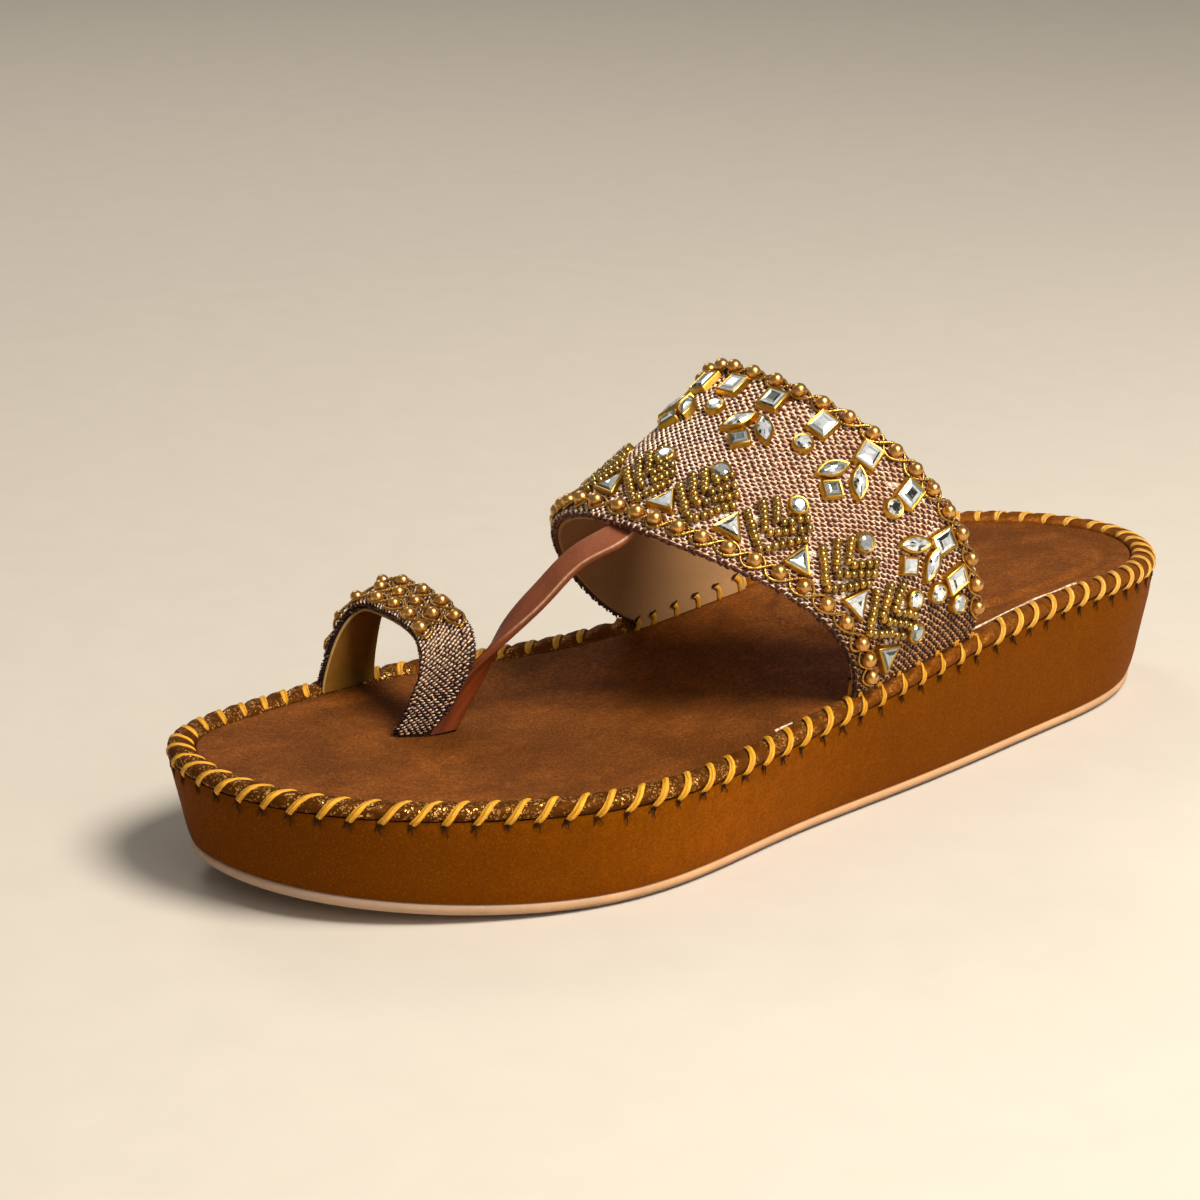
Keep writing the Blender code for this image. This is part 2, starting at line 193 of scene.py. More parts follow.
class SandalStraps(bpy.types.PropertyGroup):
    thread_along: size("Thread pitch along", "Weave pitch along the strap", 0.95)
    thread_across: size("Thread pitch across", "Weave pitch across the strap", 0.88)
    loop_along: size("Loop thread pitch along", "Weave pitch along the toe loop", 0.60)
    loop_across: size("Loop thread pitch across", "Weave pitch across the toe loop", 0.66)
    pearl: size("Pearl diameter", "Diameter of the metal pearls", 3.25)
    front_pitch: size("Front pearl pitch", "Distance between pearls on the front edge", 7.0)
    back_pitch: size("Back pearl pitch", "Distance between pearls on the back edge", 5.45)
    loop_pitch: size("Loop pearl pitch", "Distance between pearls along the toe loop", 6.4)
    wire: size("Wire diameter", "Diameter of the couched gold wire", 0.66)
    bead: size("Bead diameter", "Diameter of the seed beads", 2.25)
    bead_pitch: size("Bead pitch", "Distance between seed beads on their thread", 1.52)
    setting: size("Setting height", "Height of the stones' metal settings", 1.7)


class SandalColours(bpy.types.PropertyGroup):
    wall: colour("Wall", "Faux leather of the platform wall", "a85a08")
    rim: colour("Rim", "Foil leather of the rim roll", "743e0e")
    footbed: colour("Footbed", "Brushed leather of the footbed", "8c4e1c")
    outsole: colour("Outsole", "Rubber of the outsole", "d0a070")
    cord: colour("Cord", "Waxed whipstitch cord", "ffb224")
    ground: colour("Cloth ground", "Ground of the band's cloth between its floats", "a06a3e")
    thread_dark: colour("Dark thread", "Dark thread of the cloth", "4c2014")
    thread_light: colour("Light thread", "Shiny thread of the cloth", "ffe4c4")
    lining: colour("Lining", "Lining leather inside the straps", "b88a5c")
    strap: colour("Strap", "Leather of the thong strap", "924e2c")
    gold: colour("Gold", "Antique gold of the pearls", "e4ac60")
    brass: colour("Brass", "Brass of the wire and the stones' settings", "c4983e")
    bead: colour("Beads", "Gold lustre of the seed beads", "b88c34")
    stone: colour("Stones", "Foiled glass", "f4f6f8")
    paper: colour("Paper", "Studio paper under the sandal", "cfc4b4")


def look():
    return bpy.context.scene.sandal_colours


def sole_sizes():
    return bpy.context.scene.sandal_sole


def strap_sizes():
    return bpy.context.scene.sandal_straps


# ---------------------------------------------------------------- curves
def spline(stations, values, closed=False):
    """Cubic spline through values at stations: natural at its ends, or closed on itself."""
    t = np.asarray(stations, float)
    v = np.asarray(values, float)
    gap = np.diff(t)
    slope = np.diff(v, axis=0) / gap.reshape((-1,) + (1,) * (v.ndim - 1))
    count = len(t)
    system = np.eye(count)
    right = np.zeros_like(v)
    for i in range(1, count - 1):
        system[i, i - 1:i + 2] = gap[i - 1], 2 * (gap[i - 1] + gap[i]), gap[i]
        right[i] = 6 * (slope[i] - slope[i - 1])
    if closed:
        system[0, [0, 1, count - 2]] = 2 * (gap[0] + gap[-1]), gap[0], gap[-1]
        right[0] = 6 * (slope[0] - slope[-1])
        system[-1, [0, -1]] = -1, 1
    bend = np.linalg.solve(system, right)

    def value(x):
        x = np.asarray(x, float)
        i = np.clip(np.searchsorted(t, x) - 1, 0, count - 2)
        shape = x.shape + (1,) * (v.ndim - 1)
        width = gap[i].reshape(shape)
        b = (x - t[i]).reshape(shape) / width
        a = 1 - b
        curve = (a ** 3 - a) * bend[i] + (b ** 3 - b) * bend[i + 1]
        return a * v[i] + b * v[i + 1] + curve * width ** 2 / 6

    return value


def chord_lengths(points):
    steps = np.linalg.norm(np.diff(points, axis=0), axis=1)
    return np.concatenate(([0.0], np.cumsum(steps)))


def unit(vector):
    vector = np.asarray(vector, float)
    return vector / np.maximum(np.linalg.norm(vector, axis=-1, keepdims=True), 1e-12)


def smooth_step(low, high, x):
    share = np.clip((x - low) / (high - low), 0, 1)
    return share * share * (3 - 2 * share)


def bump(x, centre, width):
    """Soft hill of height 1 at centre."""
    return np.exp(-(((x - centre) / width) ** 2))


# ---------------------------------------------------------------- sole
def sole_outline():
    """Closed outline of the sole in plan with the run along it, from the toe over the medial side."""
    medial = [(s.x, s.medial) for s in SOLE_STATIONS]
    lateral = [(s.x, s.lateral) for s in reversed(SOLE_STATIONS)]
    loop = np.array([TOE_TIP, *medial, HEEL_TIP, *lateral, TOE_TIP])
    along = chord_lengths(loop)
    edge = spline(along, loop, closed=True)(np.linspace(0, along[-1], OUTLINE_STEPS + 1))
    heel_share = along[len(SOLE_STATIONS) + 1] / along[-1]
    run = chord_lengths(edge)
    tangent = unit(np.gradient(edge, run, axis=0))
    tangent[0] = tangent[-1] = unit(tangent[0] + tangent[-1])
    return edge, run, tangent, run[round(heel_share * OUTLINE_STEPS)]


OUTLINE, OUTLINE_RUN, OUTLINE_TANGENT, HEEL_RUN = sole_outline()
PERIMETER = OUTLINE_RUN[-1]
crest_height = spline(*zip(*CREST_HEIGHTS))


def edge_at(run):
    """Plan point and outward direction of the sole's edge at a run along it."""
    run = np.mod(run, PERIMETER)
    point, tangent = (
        np.stack([np.interp(run, OUTLINE_RUN, column) for column in table.T], axis=-1)
        for table in (OUTLINE, OUTLINE_TANGENT)
    )
    tangent = unit(tangent)
    return point, np.stack((-tangent[..., 1], tangent[..., 0]), axis=-1)


def on_sole(run, inset, drop):
    """Point at a distance inside the sole's edge and a drop below the crest."""
    point, outward = edge_at(run)
    plan = point - outward * np.asarray(inset, float)[..., None]
    return np.concatenate((plan, (crest_height(plan[..., 0]) - drop)[..., None]), axis=-1)


def underside(x):
    """Height of the sole's underside, which springs up before the ball of the foot."""
    return TOE_SPRING * np.maximum(0.0, (FLAT_FROM - x) / (HALF + FLAT_FROM)) ** 2


def draw_in(outward):
    """Distance that the bottom edge lies inside the top edge."""
    end = np.where(outward[..., 0] < 0, DRAW_IN_TOE, DRAW_IN_HEEL)
    return outward[..., 0] ** 2 * end + outward[..., 1] ** 2 * DRAW_IN_SIDE


def inset_of(x, y):
    """Distance of plan points from the sole's edge."""
    points = np.stack((np.ravel(x), np.ravel(y)), axis=1)
    coarse = OUTLINE[::8]
    return np.array([np.sqrt(((coarse - p) ** 2).sum(axis=1).min()) for p in points]).reshape(np.shape(x))


def top_drop(inset):
    """Drop of the sole's top below the crest: roll, then footbed."""
    roll = np.interp(inset, *zip(*RIM_SECTION[1:-1]))
    return np.where(inset >= RIM_SECTION[-1][0], FOOTBED_DROP, roll)


def ground(x, y):
    """Height of the sole's upper surface."""
    return crest_height(x) - top_drop(inset_of(x, y))


# ---------------------------------------------------------------- straps
def signed_power(base, exponent):
    return np.sign(base) * np.abs(base) ** exponent


def strap_point(rows, t, s):
    """Outer face of a strap: t is -1 at the lateral foot, 0 at the crest, 1 at the medial foot, and
    s is 0 at the front edge and 1 at the back edge."""
    t, s = np.broadcast_arrays(np.asarray(t, float), np.asarray(s, float))
    front, back = rows

    def between(name):
        return getattr(front, name) + (getattr(back, name) - getattr(front, name)) * s

    def side(name):
        return np.where(t < 0, between("lateral_" + name), between("medial_" + name))

    foot_x, foot_y, shoulder, roundness, sweep = map(side, ("x", "y", "shoulder", "round", "sweep"))
    crest_x, crest_y, crest_z = map(between, ("crest_x", "crest_y", "crest_z"))
    foot_z = crest_height(foot_x) - between("foot_drop")
    rise = crest_z - foot_z
    centre = foot_z + shoulder * rise
    radius = crest_z - centre
    under = np.arcsin(((centre - foot_z) / radius) ** (1 / roundness))
    angle = (1 - np.abs(t)) * (np.pi / 2 + under) - under
    reach = (crest_y - foot_y) / np.cos(under) ** roundness
    y = crest_y - reach * signed_power(np.cos(angle), roundness)
    z = centre + radius * signed_power(np.sin(angle), roundness)
    lean = np.clip((z - foot_z) / rise, 0, 1) ** sweep
    return np.stack((foot_x + (crest_x - foot_x) * lean, y, z), axis=-1)


def strap_frame(rows, t, s):
    """Point, direction along the strap, direction to its back edge and outward normal."""
    step = 1e-3
    t, s = np.broadcast_arrays(np.asarray(t, float), np.asarray(s, float))
    low, high = np.clip(t - step, -1, 1), np.clip(t + step, -1, 1)
    along = unit(strap_point(rows, high, s) - strap_point(rows, low, s))
    low, high = np.clip(s - step, 0, 1), np.clip(s + step, 0, 1)
    across = unit(strap_point(rows, t, high) - strap_point(rows, t, low))
    return strap_point(rows, t, s), along, across, unit(np.cross(across, along))


class Strap:
    """A strap's outer face with places on it given in millimetres."""

    def __init__(self, rows, wall):
        self.rows, self.wall = rows, wall
        self.t = np.linspace(-1, 1, STRAP_STEPS + 1)
        middle = strap_point(rows, self.t, 0.5)
        self.run = chord_lengths(middle)
        self.length = self.run[-1]
        front, back = strap_point(rows, self.t, 0.0), strap_point(rows, self.t, 1.0)
        self.widths = np.linalg.norm(back - front, axis=1)
        # A table of t for even steps along lines from the front edge to the back edge.
        self.lines = np.array([self.even_steps(share) for share in np.linspace(0, 1, STRAP_LINES)])

    def even_steps(self, share):
        """t at even steps from the lateral foot to the crest and on to the medial foot."""
        run = chord_lengths(strap_point(self.rows, self.t, share))
        crest = run[len(run) // 2]
        even = np.where(self.t < 0, run / crest - 1, (run - crest) / (run[-1] - crest))
        return np.interp(self.t, even, self.t)

    def even_frame(self, along, deep):
        """Frame at a place counted in even steps, which keeps threads in rows where the strap turns."""
        middle = self.lines[len(self.lines) // 2]
        even = np.interp(self.t_at(along), middle, self.t)
        s = np.clip(deep / self.width_at(along), 0, 1)
        line = s * (len(self.lines) - 1)
        low = np.clip(line.astype(int), 0, len(self.lines) - 2)
        place = (even + 1) / 2 * (len(self.t) - 1)
        step = np.clip(place.astype(int), 0, len(self.t) - 1)
        t = self.lines[low, step] * (1 - (line - low)) + self.lines[low + 1, step] * (line - low)
        return strap_frame(self.rows, t, s)

    def t_at(self, along):
        return np.interp(along, self.run, self.t)

    def width_at(self, along):
        return np.interp(along, self.run, self.widths)

    def frame(self, along, deep):
        """Frame at a run along the strap and a distance from its front edge."""
        along, deep = np.broadcast_arrays(np.asarray(along, float), np.asarray(deep, float))
        return strap_frame(self.rows, self.t_at(along), np.clip(deep / self.width_at(along), 0, 1))

    def wrapped(self, along, deep, radius, lift):
        """Frame at a lift off the cloth, which turns over the strap's two rounded edges."""
        width = self.width_at(along)
        flat = np.clip(deep, radius, width - radius)
        angle = ((deep - flat) / radius)[:, None]
        point, way, across, normal = self.even_frame(along, flat)
        turned_up = normal * np.cos(angle) + across * np.sin(angle)
        spot = point - normal * (CLOTH_DEPTH + radius) + turned_up * (radius + lift)
        return spot, way, across * np.cos(angle) - normal * np.sin(angle), turned_up

    def path(self, along, deep, height):
        """Points over the strap at a height off its face, and the normals there."""
        point, _, _, normal = self.frame(along, deep)
        return point + normal * np.asarray(height, float)[..., None], normal


BAND = Strap(BAND_ROWS, BAND_WALL)
LOOP = Strap(LOOP_ROWS, LOOP_WALL)


# ---------------------------------------------------------------- meshes
def closed_mesh(name, vertices, faces, sharp=None, uv=None, merge=None):
    """Mesh from points in millimetres, its normals outward, faceted or smooth with the edges kept that
    turn by more than sharp degrees. uv gives each face corner its place on the surface."""
    mesh = bpy.data.meshes.new(name)
    mesh.from_pydata((np.asarray(vertices, float) * MM).tolist(), [], [list(f) for f in faces])
    if uv is not None:
        mesh.uv_layers.new(name="surface").data.foreach_set("uv", np.asarray(uv, np.float32).ravel())
    bm = bmesh.new()
    bm.from_mesh(mesh)
    if merge:
        bmesh.ops.remove_doubles(bm, verts=bm.verts, dist=merge * MM)
    bmesh.ops.recalc_face_normals(bm, faces=bm.faces)
    if bm.calc_volume(signed=True) < 0:
        bmesh.ops.reverse_faces(bm, faces=bm.faces)
    bm.to_mesh(mesh)
    bm.free()
    if sharp:
        mesh.shade_smooth()
        mesh.set_sharp_from_angle(angle=np.radians(sharp))
    return mesh


def new_object(name, mesh, material=None):
    if material:
        mesh.materials.append(material)
    obj = bpy.data.objects.new(name, mesh)
    bpy.context.scene.collection.objects.link(obj)
    return obj


def mark(mesh, label, values, domain="POINT"):
    """Write a number or a direction on every point or face of a mesh."""
    values = np.asarray(values, np.float32)
    kind, field = ("FLOAT_VECTOR", "vector") if values.ndim == 2 else ("FLOAT", "value")
    mesh.attributes.new(label, kind, domain).data.foreach_set(field, values.ravel())


def grid_faces(rows, columns, wrap_rows=False, wrap_columns=False, first=0):
    """Quads of a grid of points, and the grid place of each of their corners before wrapping."""
    i, j = np.meshgrid(
        np.arange(rows if wrap_rows else rows - 1),
        np.arange(columns if wrap_columns else columns - 1), indexing="ij",
    )
    i, j = i.ravel(), j.ravel()
    corner_i = np.stack((i, i, i + 1, i + 1), axis=1)
    corner_j = np.stack((j, j + 1, j + 1, j), axis=1)
    faces = first + (corner_i % rows) * columns + corner_j % columns
    return faces.tolist(), corner_i, corner_j


def swept(name, points, material, sharp, u=None, v=None, capped=True):
    """Closed body from sections (rows of points), each closed on itself. u goes with the rows and v
    with the points of a section, both with one value more where they come back to their start."""
    rows, columns = points.shape[:2]
    u = np.arange(rows) / rows if u is None else u
    v = np.linspace(0, 1, columns + 1) if v is None else v
    faces, i, j = grid_faces(rows, columns, wrap_rows=not capped, wrap_columns=True)
    uv = np.stack((u[i], v[j]), axis=-1).reshape(-1, 2)
    if capped:
        for first in (0, (rows - 1) * columns):
            for k in range(columns // 2):
                corners = (k, k + 1, columns - k - 1, (columns - k) % columns)
                face = [first + c for c in dict.fromkeys(corners)]
                if len(face) > 2:
                    faces.append(face)
                    place = [(u[first // columns], v[c - first]) for c in face]
                    uv = np.concatenate((uv, place))
    return new_object(name, closed_mesh(name, points.reshape(-1, 3), faces, sharp, uv), material)


def stacked(levels):
    """Vertices and faces of a closed body of level rings, each given as its points in plan and a height."""
    rings = [np.concatenate((ring, np.full((len(ring), 1), z)), axis=1) for ring, z in levels]
    count = len(rings[0])
    top = (len(rings) - 1) * count
    faces, _, _ = grid_faces(len(rings), count, wrap_columns=True)
    return np.concatenate(rings), faces + [list(range(count)), list(range(top, top + count))]


def turned(profile, sides):
    """Vertices and faces of a profile of (radius, height) turned round an axis, its ends closed."""
    angles = np.linspace(0, 2 * np.pi, sides, endpoint=False)
    return stacked([(np.stack((r * np.cos(angles), r * np.sin(angles)), axis=1), h) for r, h in profile])


def joined(name, parts):
    """One piece out of several, each with its own material kept."""
    bpy.ops.object.select_all(action="DESELECT")
    for part in parts:
        part.select_set(True)
    whole = bpy.context.view_layer.objects.active = parts[0]
    bpy.ops.object.join()
    whole.name = whole.data.name = name
    return whole


def finished(obj, slot, *nodes):
    """A piece rides on the one body and may stand for nodes, which are hidden; slot is not used."""
    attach(obj, "root")
    if nodes:
        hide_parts(*nodes)


# ---------------------------------------------------------------- node trees
def add_node(tree, kind, inputs=None, **settings):
    """Add a node with its settings, and with inputs that are values or sockets to link from."""
    node = tree.nodes.new(kind)
    for key, value in settings.items():
        setattr(node, key, value)
    for key, value in (inputs or {}).items():
        if isinstance(value, bpy.types.NodeSocket):
            tree.links.new(value, node.inputs[key])
        else:
            node.inputs[key].default_value = value
    return node


def node_group(name, **sockets):
    """Geometry node tree with a geometry input, further named inputs and a geometry output."""
    tree = bpy.data.node_groups.new(name, "GeometryNodeTree")
    tree.interface.new_socket("Geometry", in_out="OUTPUT", socket_type="NodeSocketGeometry")
    for label, kind in {"Geometry": "Geometry", **sockets}.items():
        tree.interface.new_socket(label, in_out="INPUT", socket_type="NodeSocket" + kind)
    return tree, add_node(tree, "NodeGroupInput").outputs


def close_group(tree, geometry, material):
    """End of every tree: real geometry with its material."""
    real = add_node(tree, "GeometryNodeRealizeInstances", {"Geometry": geometry})
    done = add_node(tree, "GeometryNodeSetMaterial", {"Geometry": real.outputs[0], "Material": material})
    add_node(tree, "NodeGroupOutput", {"Geometry": done.outputs[0]})
    return tree


def placing_tree(name):
    """Sets one shape on every point, turned by the point's own directions and scaled by its size."""
    tree, given = node_group(name, Shape="Object", Scale="Float", Material="Material")
    kind = "GeometryNodeInputNamedAttribute"
    outward, along, own_size = (
        add_node(tree, kind, {"Name": label}, data_type="FLOAT_VECTOR").outputs[0]
        for label in ("outward", "along", "size")
    )
    shape = add_node(tree, "GeometryNodeObjectInfo", {"Object": given["Shape"]})
    turn = add_node(tree, "FunctionNodeAxesToRotation", {
        "Primary Axis": outward, "Secondary Axis": along,
    }, primary_axis="Z", secondary_axis="X")
    scaled = add_node(tree, "ShaderNodeVectorMath", {0: own_size, "Scale": given["Scale"]}, operation="SCALE")
    placed = add_node(tree, "GeometryNodeInstanceOnPoints", {
        "Points": given["Geometry"], "Instance": shape.outputs["Geometry"],
        "Rotation": turn.outputs[0], "Scale": scaled.outputs[0],
    })
    return close_group(tree, placed.outputs[0], given["Material"])


def cord_tree(name):
    """Sweeps a flattened round section along every line of points."""
    tree, given = node_group(name, Width="Float", Thickness="Float", Sides="Int", Material="Material")
    outward, width = (
        add_node(tree, "GeometryNodeInputNamedAttribute", {"Name": label}, data_type=data).outputs[0]
        for label, data in (("outward", "FLOAT_VECTOR"), ("width", "FLOAT"))
    )
    lines = add_node(tree, "GeometryNodeMeshToCurve", {"Mesh": given["Geometry"]})
    turned_lines = add_node(tree, "GeometryNodeSetCurveNormal", {
        "Curve": lines.outputs[0], "Normal": outward,
    }, mode="FREE")
    circle = add_node(tree, "GeometryNodeCurvePrimitiveCircle", {
        "Resolution": given["Sides"], "Radius": 0.5,
    }, mode="RADIUS")
    flat = add_node(tree, "ShaderNodeCombineXYZ", {"X": given["Thickness"], "Y": given["Width"], "Z": 1.0})
    section = add_node(tree, "GeometryNodeTransform", {
        "Geometry": circle.outputs[0], "Scale": flat.outputs[0],
    })
    corner = add_node(tree, "GeometryNodeInputIndex")
    marked = add_node(tree, "GeometryNodeStoreNamedAttribute", {
        "Geometry": section.outputs[0], "Name": "round", "Value": corner.outputs[0],
    }, data_type="FLOAT", domain="POINT")
    body = add_node(tree, "GeometryNodeCurveToMesh", {
        "Curve": turned_lines.outputs[0], "Profile Curve": marked.outputs[0],
        "Scale": width, "Fill Caps": True,
    })
    smooth = add_node(tree, "GeometryNodeSetShadeSmooth", {"Geometry": body.outputs[0]})
    return close_group(tree, smooth.outputs[0], given["Material"])


def run_tree(obj, name, build, **values):
    """Run a tree on an object with its named inputs set, and leave plain mesh."""
    tree = bpy.data.node_groups.get(name) or build(name)
    modifier = obj.modifiers.new(name, "NODES")
    modifier.node_group = tree
    for item in tree.interface.items_tree:
        label = item.name.lower()
        if item.in_out == "INPUT" and label in values:
            modifier[item.identifier] = values[label]
    depsgraph = bpy.context.evaluated_depsgraph_get()
    mesh = bpy.data.meshes.new_from_object(
        obj.evaluated_get(depsgraph), preserve_all_data_layers=True, depsgraph=depsgraph
    )
    mesh.name = obj.name
    obj.modifiers.clear()
    obj.data = mesh
    for label in ("outward", "along", "size", "width"):
        if label in mesh.attributes:
            mesh.attributes.remove(mesh.attributes[label])
    return obj


def points_object(name, points, edges=(), **layers):
    """Object of loose points or lines in millimetres that carry numbers for a tree."""
    mesh = bpy.data.meshes.new(name)
    mesh.from_pydata((np.asarray(points, float) * MM).tolist(), list(edges), [])
    for label, values in layers.items():
        mark(mesh, label, values)
    return new_object(name, mesh)


def set_on(name, shape, places, material, tone, size=1.0, scale=1.0):
    """Piece made of one mesh set on many points, which come in sets of points, ways along and outward."""
    points, along, outward = map(np.concatenate, zip(*places))
    size = np.ones((len(points), 3)) * size
    obj = points_object(name, points, along=along, outward=outward, size=size, tone=tone)
    shape = bpy.data.objects.new(shape.name, shape)
    return run_tree(obj, "Set on points", placing_tree, shape=shape, scale=float(scale), material=material)


def cords(name, lines, material, width, thick, sides):
    """Piece of cords swept along lines, each given as points, normals, width shares and a tone."""
    points, normals, widths, tones = zip(*lines)
    counts = [len(p) for p in points]
    starts = np.cumsum([0, *counts])
    edges = [(k, k + 1) for first, last in zip(starts, starts[1:]) for k in range(first, last - 1)]
    obj = points_object(
        name, np.concatenate(points), edges, outward=np.concatenate(normals), width=np.concatenate(widths),
        run=np.concatenate([chord_lengths(p) for p in points]), tone=np.repeat(tones, counts),
    )
    return run_tree(obj, "Sweep along lines", cord_tree, width=float(width * MM), thickness=float(thick * MM),
                    sides=sides, material=material)


# ---------------------------------------------------------------- materials
class Material:
    """Principled material while colours, patterns and reliefs are laid on it. reads names the numbers that
    the mesh carries for it."""

    def __init__(self, name, colour, roughness, metallic=0.0, reads=(), **constants):
        self.data = bpy.data.materials.new(name)
        self.data.use_nodes = True
        self.tree = self.data.node_tree
        self.shader = self.tree.nodes["Principled BSDF"]
        self.colour = (*colour, 1.0)
        constants = {"Base_Color": self.colour, "Roughness": roughness, "Metallic": metallic, **constants}
        for label, value in constants.items():
            self.shader.inputs[label.replace("_", " ")].default_value = value
        self.place = add_node(self.tree, "ShaderNodeTexCoord").outputs["Object"]
        self.reads = [
            add_node(self.tree, "ShaderNodeAttribute", attribute_name=label).outputs["Fac"] for label in reads
        ]

    def shade(self, factor):
        """The base colour, darker or lighter."""
        return [min(1.0, c * factor) for c in self.colour[:3]]

    def ramp(self, value, start, end):
        """Share that goes from 0 to 1 between two values, or two places in millimetres along an axis."""
        if isinstance(value, str):
            value = add_node(self.tree, "ShaderNodeSeparateXYZ", {"Vector": self.place}).outputs[value]
            start, end = start * MM, end * MM
        return add_node(self.tree, "ShaderNodeMapRange", {
            "Value": value, "From Min": start, "From Max": end,
        }).outputs[0]

    def pattern(self, millimetres, low=0.3, high=0.7, detail=4.0, rough=0.55, stretch=(1, 1, 1), place=None):
        """Share from 0 to 1 that drifts in features about so many millimetres wide."""
        pulled = add_node(self.tree, "ShaderNodeMapping", {"Vector": place or self.place, "Scale": stretch})
        drift = add_node(self.tree, "ShaderNodeTexNoise", {
            "Vector": pulled.outputs[0], "Scale": 1 / (millimetres * MM),
            "Detail": detail, "Roughness": rough,
        })
        return self.ramp(drift.outputs["Fac"], low, high)

    def dress(self, *layers, relief=(), **levels):
        """Lay colours over the base colour, each as (share, share, ..., colour), raise reliefs of some
        millimetres and let values of the shader go from low to high, each as (share, low, high)."""
        under = self.colour
        for share, *more, over in layers:
            for factor in more:
                both = add_node(self.tree, "ShaderNodeMath", {0: share, 1: factor}, operation="MULTIPLY")
                share = both.outputs[0]
            if not isinstance(over, bpy.types.NodeSocket):
                over = (*(linear(over) if isinstance(over, str) else over), 1.0)
            mixed = add_node(self.tree, "ShaderNodeMix", {0: share, 6: under, 7: over}, data_type="RGBA")
            under = mixed.outputs[2]
        ends = {}
        for height, millimetres in relief:
            inputs = {"Height": height, "Distance": millimetres * MM, **ends}
            ends = {"Normal": add_node(self.tree, "ShaderNodeBump", inputs).outputs[0]}
        for label, (share, low, high) in levels.items():
            inputs = {"Value": share, "To Min": low, "To Max": high}
            ends[label] = add_node(self.tree, "ShaderNodeMapRange", inputs).outputs[0]
        for label, socket in {"Base Color": under, **ends}.items():
            self.tree.links.new(socket, self.shader.inputs[label])
        return self.data


def outsole_rubber():
    """Moulded rubber, buffed at the edge: matte, faintly mottled, with painted shade and pale specks near the
    ground.
    """
    m = Material("moulded_rubber", look().outsole, 0.5, Specular_IOR_Level=0.4)
    # Near the ground the edge darkens as painted shade, with pale specks over it.
    low = m.ramp("Z", 1.7, 0.5)
    return m.dress(
        (m.pattern(7), m.shade(0.8)),
        (m.ramp("X", -60, -115), 0.6, "a08c80"),
        (low, 0.85, "5a2c14"),
        (m.pattern(1.1, 0.6, 0.8), 0.4, m.shade(1.3)),
        (low, m.pattern(0.5, 0.62, 0.7), "f0d8b8"),
        relief=((m.pattern(0.7), 0.03),),
    )


def wall_leather():
    """Embossed metallic faux leather pulled round the platform: fine grain that sparkles a little,
    cloudy, darker in faint upright streaks, with painted shade at the toe, towards the heel and in
    patches under the rim roll."""
    m = Material("embossed_faux_leather", look().wall, 0.5, 0.3,
                 Specular_IOR_Level=0.02, Specular_Tint=(1.0, 0.55, 0.2, 1.0))
    grain = m.pattern(0.62, 0.36, 0.64, 5, 0.7)
    around = add_node(m.tree, "ShaderNodeUVMap", uv_map="surface").outputs[0]
    upward = add_node(m.tree, "ShaderNodeSeparateXYZ", {"Vector": around}).outputs["X"]
    return m.dress(
        (m.pattern(18, 0.32, 0.68, 3), m.shade(0.74)),
        # Painted shade at the toe.
        (m.ramp("X", -45, -118), 0.9, m.shade(0.3)),
        # Painted shade towards the heel.
        (m.ramp("X", -35, 15), 0.72, m.shade(0.4)),
        # Painted shade in patches at the top of the wall, under the rim roll.
        (m.ramp(upward, 0.55, 0.88), m.pattern(4, 0.3, 0.6), 0.7, m.shade(0.35)),
        (m.pattern(1.4, 0.4, 0.7, 3, stretch=(1.0, 1.0, 0.2)), 0.35, m.shade(0.4)),
        (grain, 0.5, m.shade(0.3)),
        (m.pattern(0.45, 0.54, 0.7, 2), 0.22, "b87018"),
        Roughness=(grain, 0.42, 0.6), relief=((grain, 0.07),),
    )


def rim_leather():
    """Bronze foil leather rolled over a cord: worn brown ground with crackled foil that sparkles, fewer
    flakes towards the heel, and painted shade on the ground towards the toe."""
    m = Material("foil_leather", look().rim, 0.45, 0.3,
                 Specular_IOR_Level=0.05, Specular_Tint=(1.0, 0.6, 0.25, 1.0))
    flake = add_node(m.tree, "ShaderNodeTexVoronoi", {"Vector": m.place, "Scale": 1 / (0.34 * MM)}).outputs
    value = add_node(m.tree, "ShaderNodeSeparateColor", {"Color": flake["Color"]}).outputs[0]
    cloud = m.pattern(5, 0.4, 0.66, 3)
    toe = m.ramp("X", 30, -70)
    fewer = add_node(m.tree, "ShaderNodeMath", {0: toe, 1: 0.85, 2: 0.15}, operation="MULTIPLY_ADD")
    worn = m.ramp(value, 0.72, 0.98)
    for share in (cloud, fewer.outputs[0]):
        worn = add_node(m.tree, "ShaderNodeMath", {0: worn, 1: share}, operation="MULTIPLY").outputs[0]
    return m.dress(
        (cloud, m.shade(1.15)),
        # Painted shade towards the toe.
        (toe, 0.78, m.shade(0.3)),
        (m.pattern(1.6, 0.45, 0.7), 0.6, m.shade(0.4)),
        (m.pattern(0.5, 0.5, 0.7), 0.6, m.shade(0.5)),
        (worn, "ffc470"),
        Roughness=(worn, 0.48, 0.25), Metallic=(worn, 0.25, 0.9),
        relief=((flake["Distance"], 0.05), (m.pattern(1.8), 0.10)),
    )


def footbed_leather():
    """Brushed metallic suede laid over foam: cloudy brown with a short nap that catches the light."""
    m = Material("brushed_suede", look().footbed, 0.62, 0.25, Specular_IOR_Level=0.04)
    nap = m.pattern(0.9, 0.42, 0.58, 6, 0.75)
    return m.dress(
        (m.pattern(26, 0.38, 0.62), m.shade(0.52)),
        (m.pattern(6, 0.42, 0.62, 5, 0.65), 0.7, m.shade(0.45)),
        (m.pattern(11, 0.5, 0.7, 4, stretch=(0.5, 1.0, 1.0)), 0.5, m.shade(1.5)),
        (nap, 0.65, m.shade(0.4)),
        (m.pattern(0.35, 0.52, 0.72, 2), 0.4, m.shade(2.2)),
        Roughness=(nap, 0.5, 0.72), relief=((nap, 0.09),),
    )


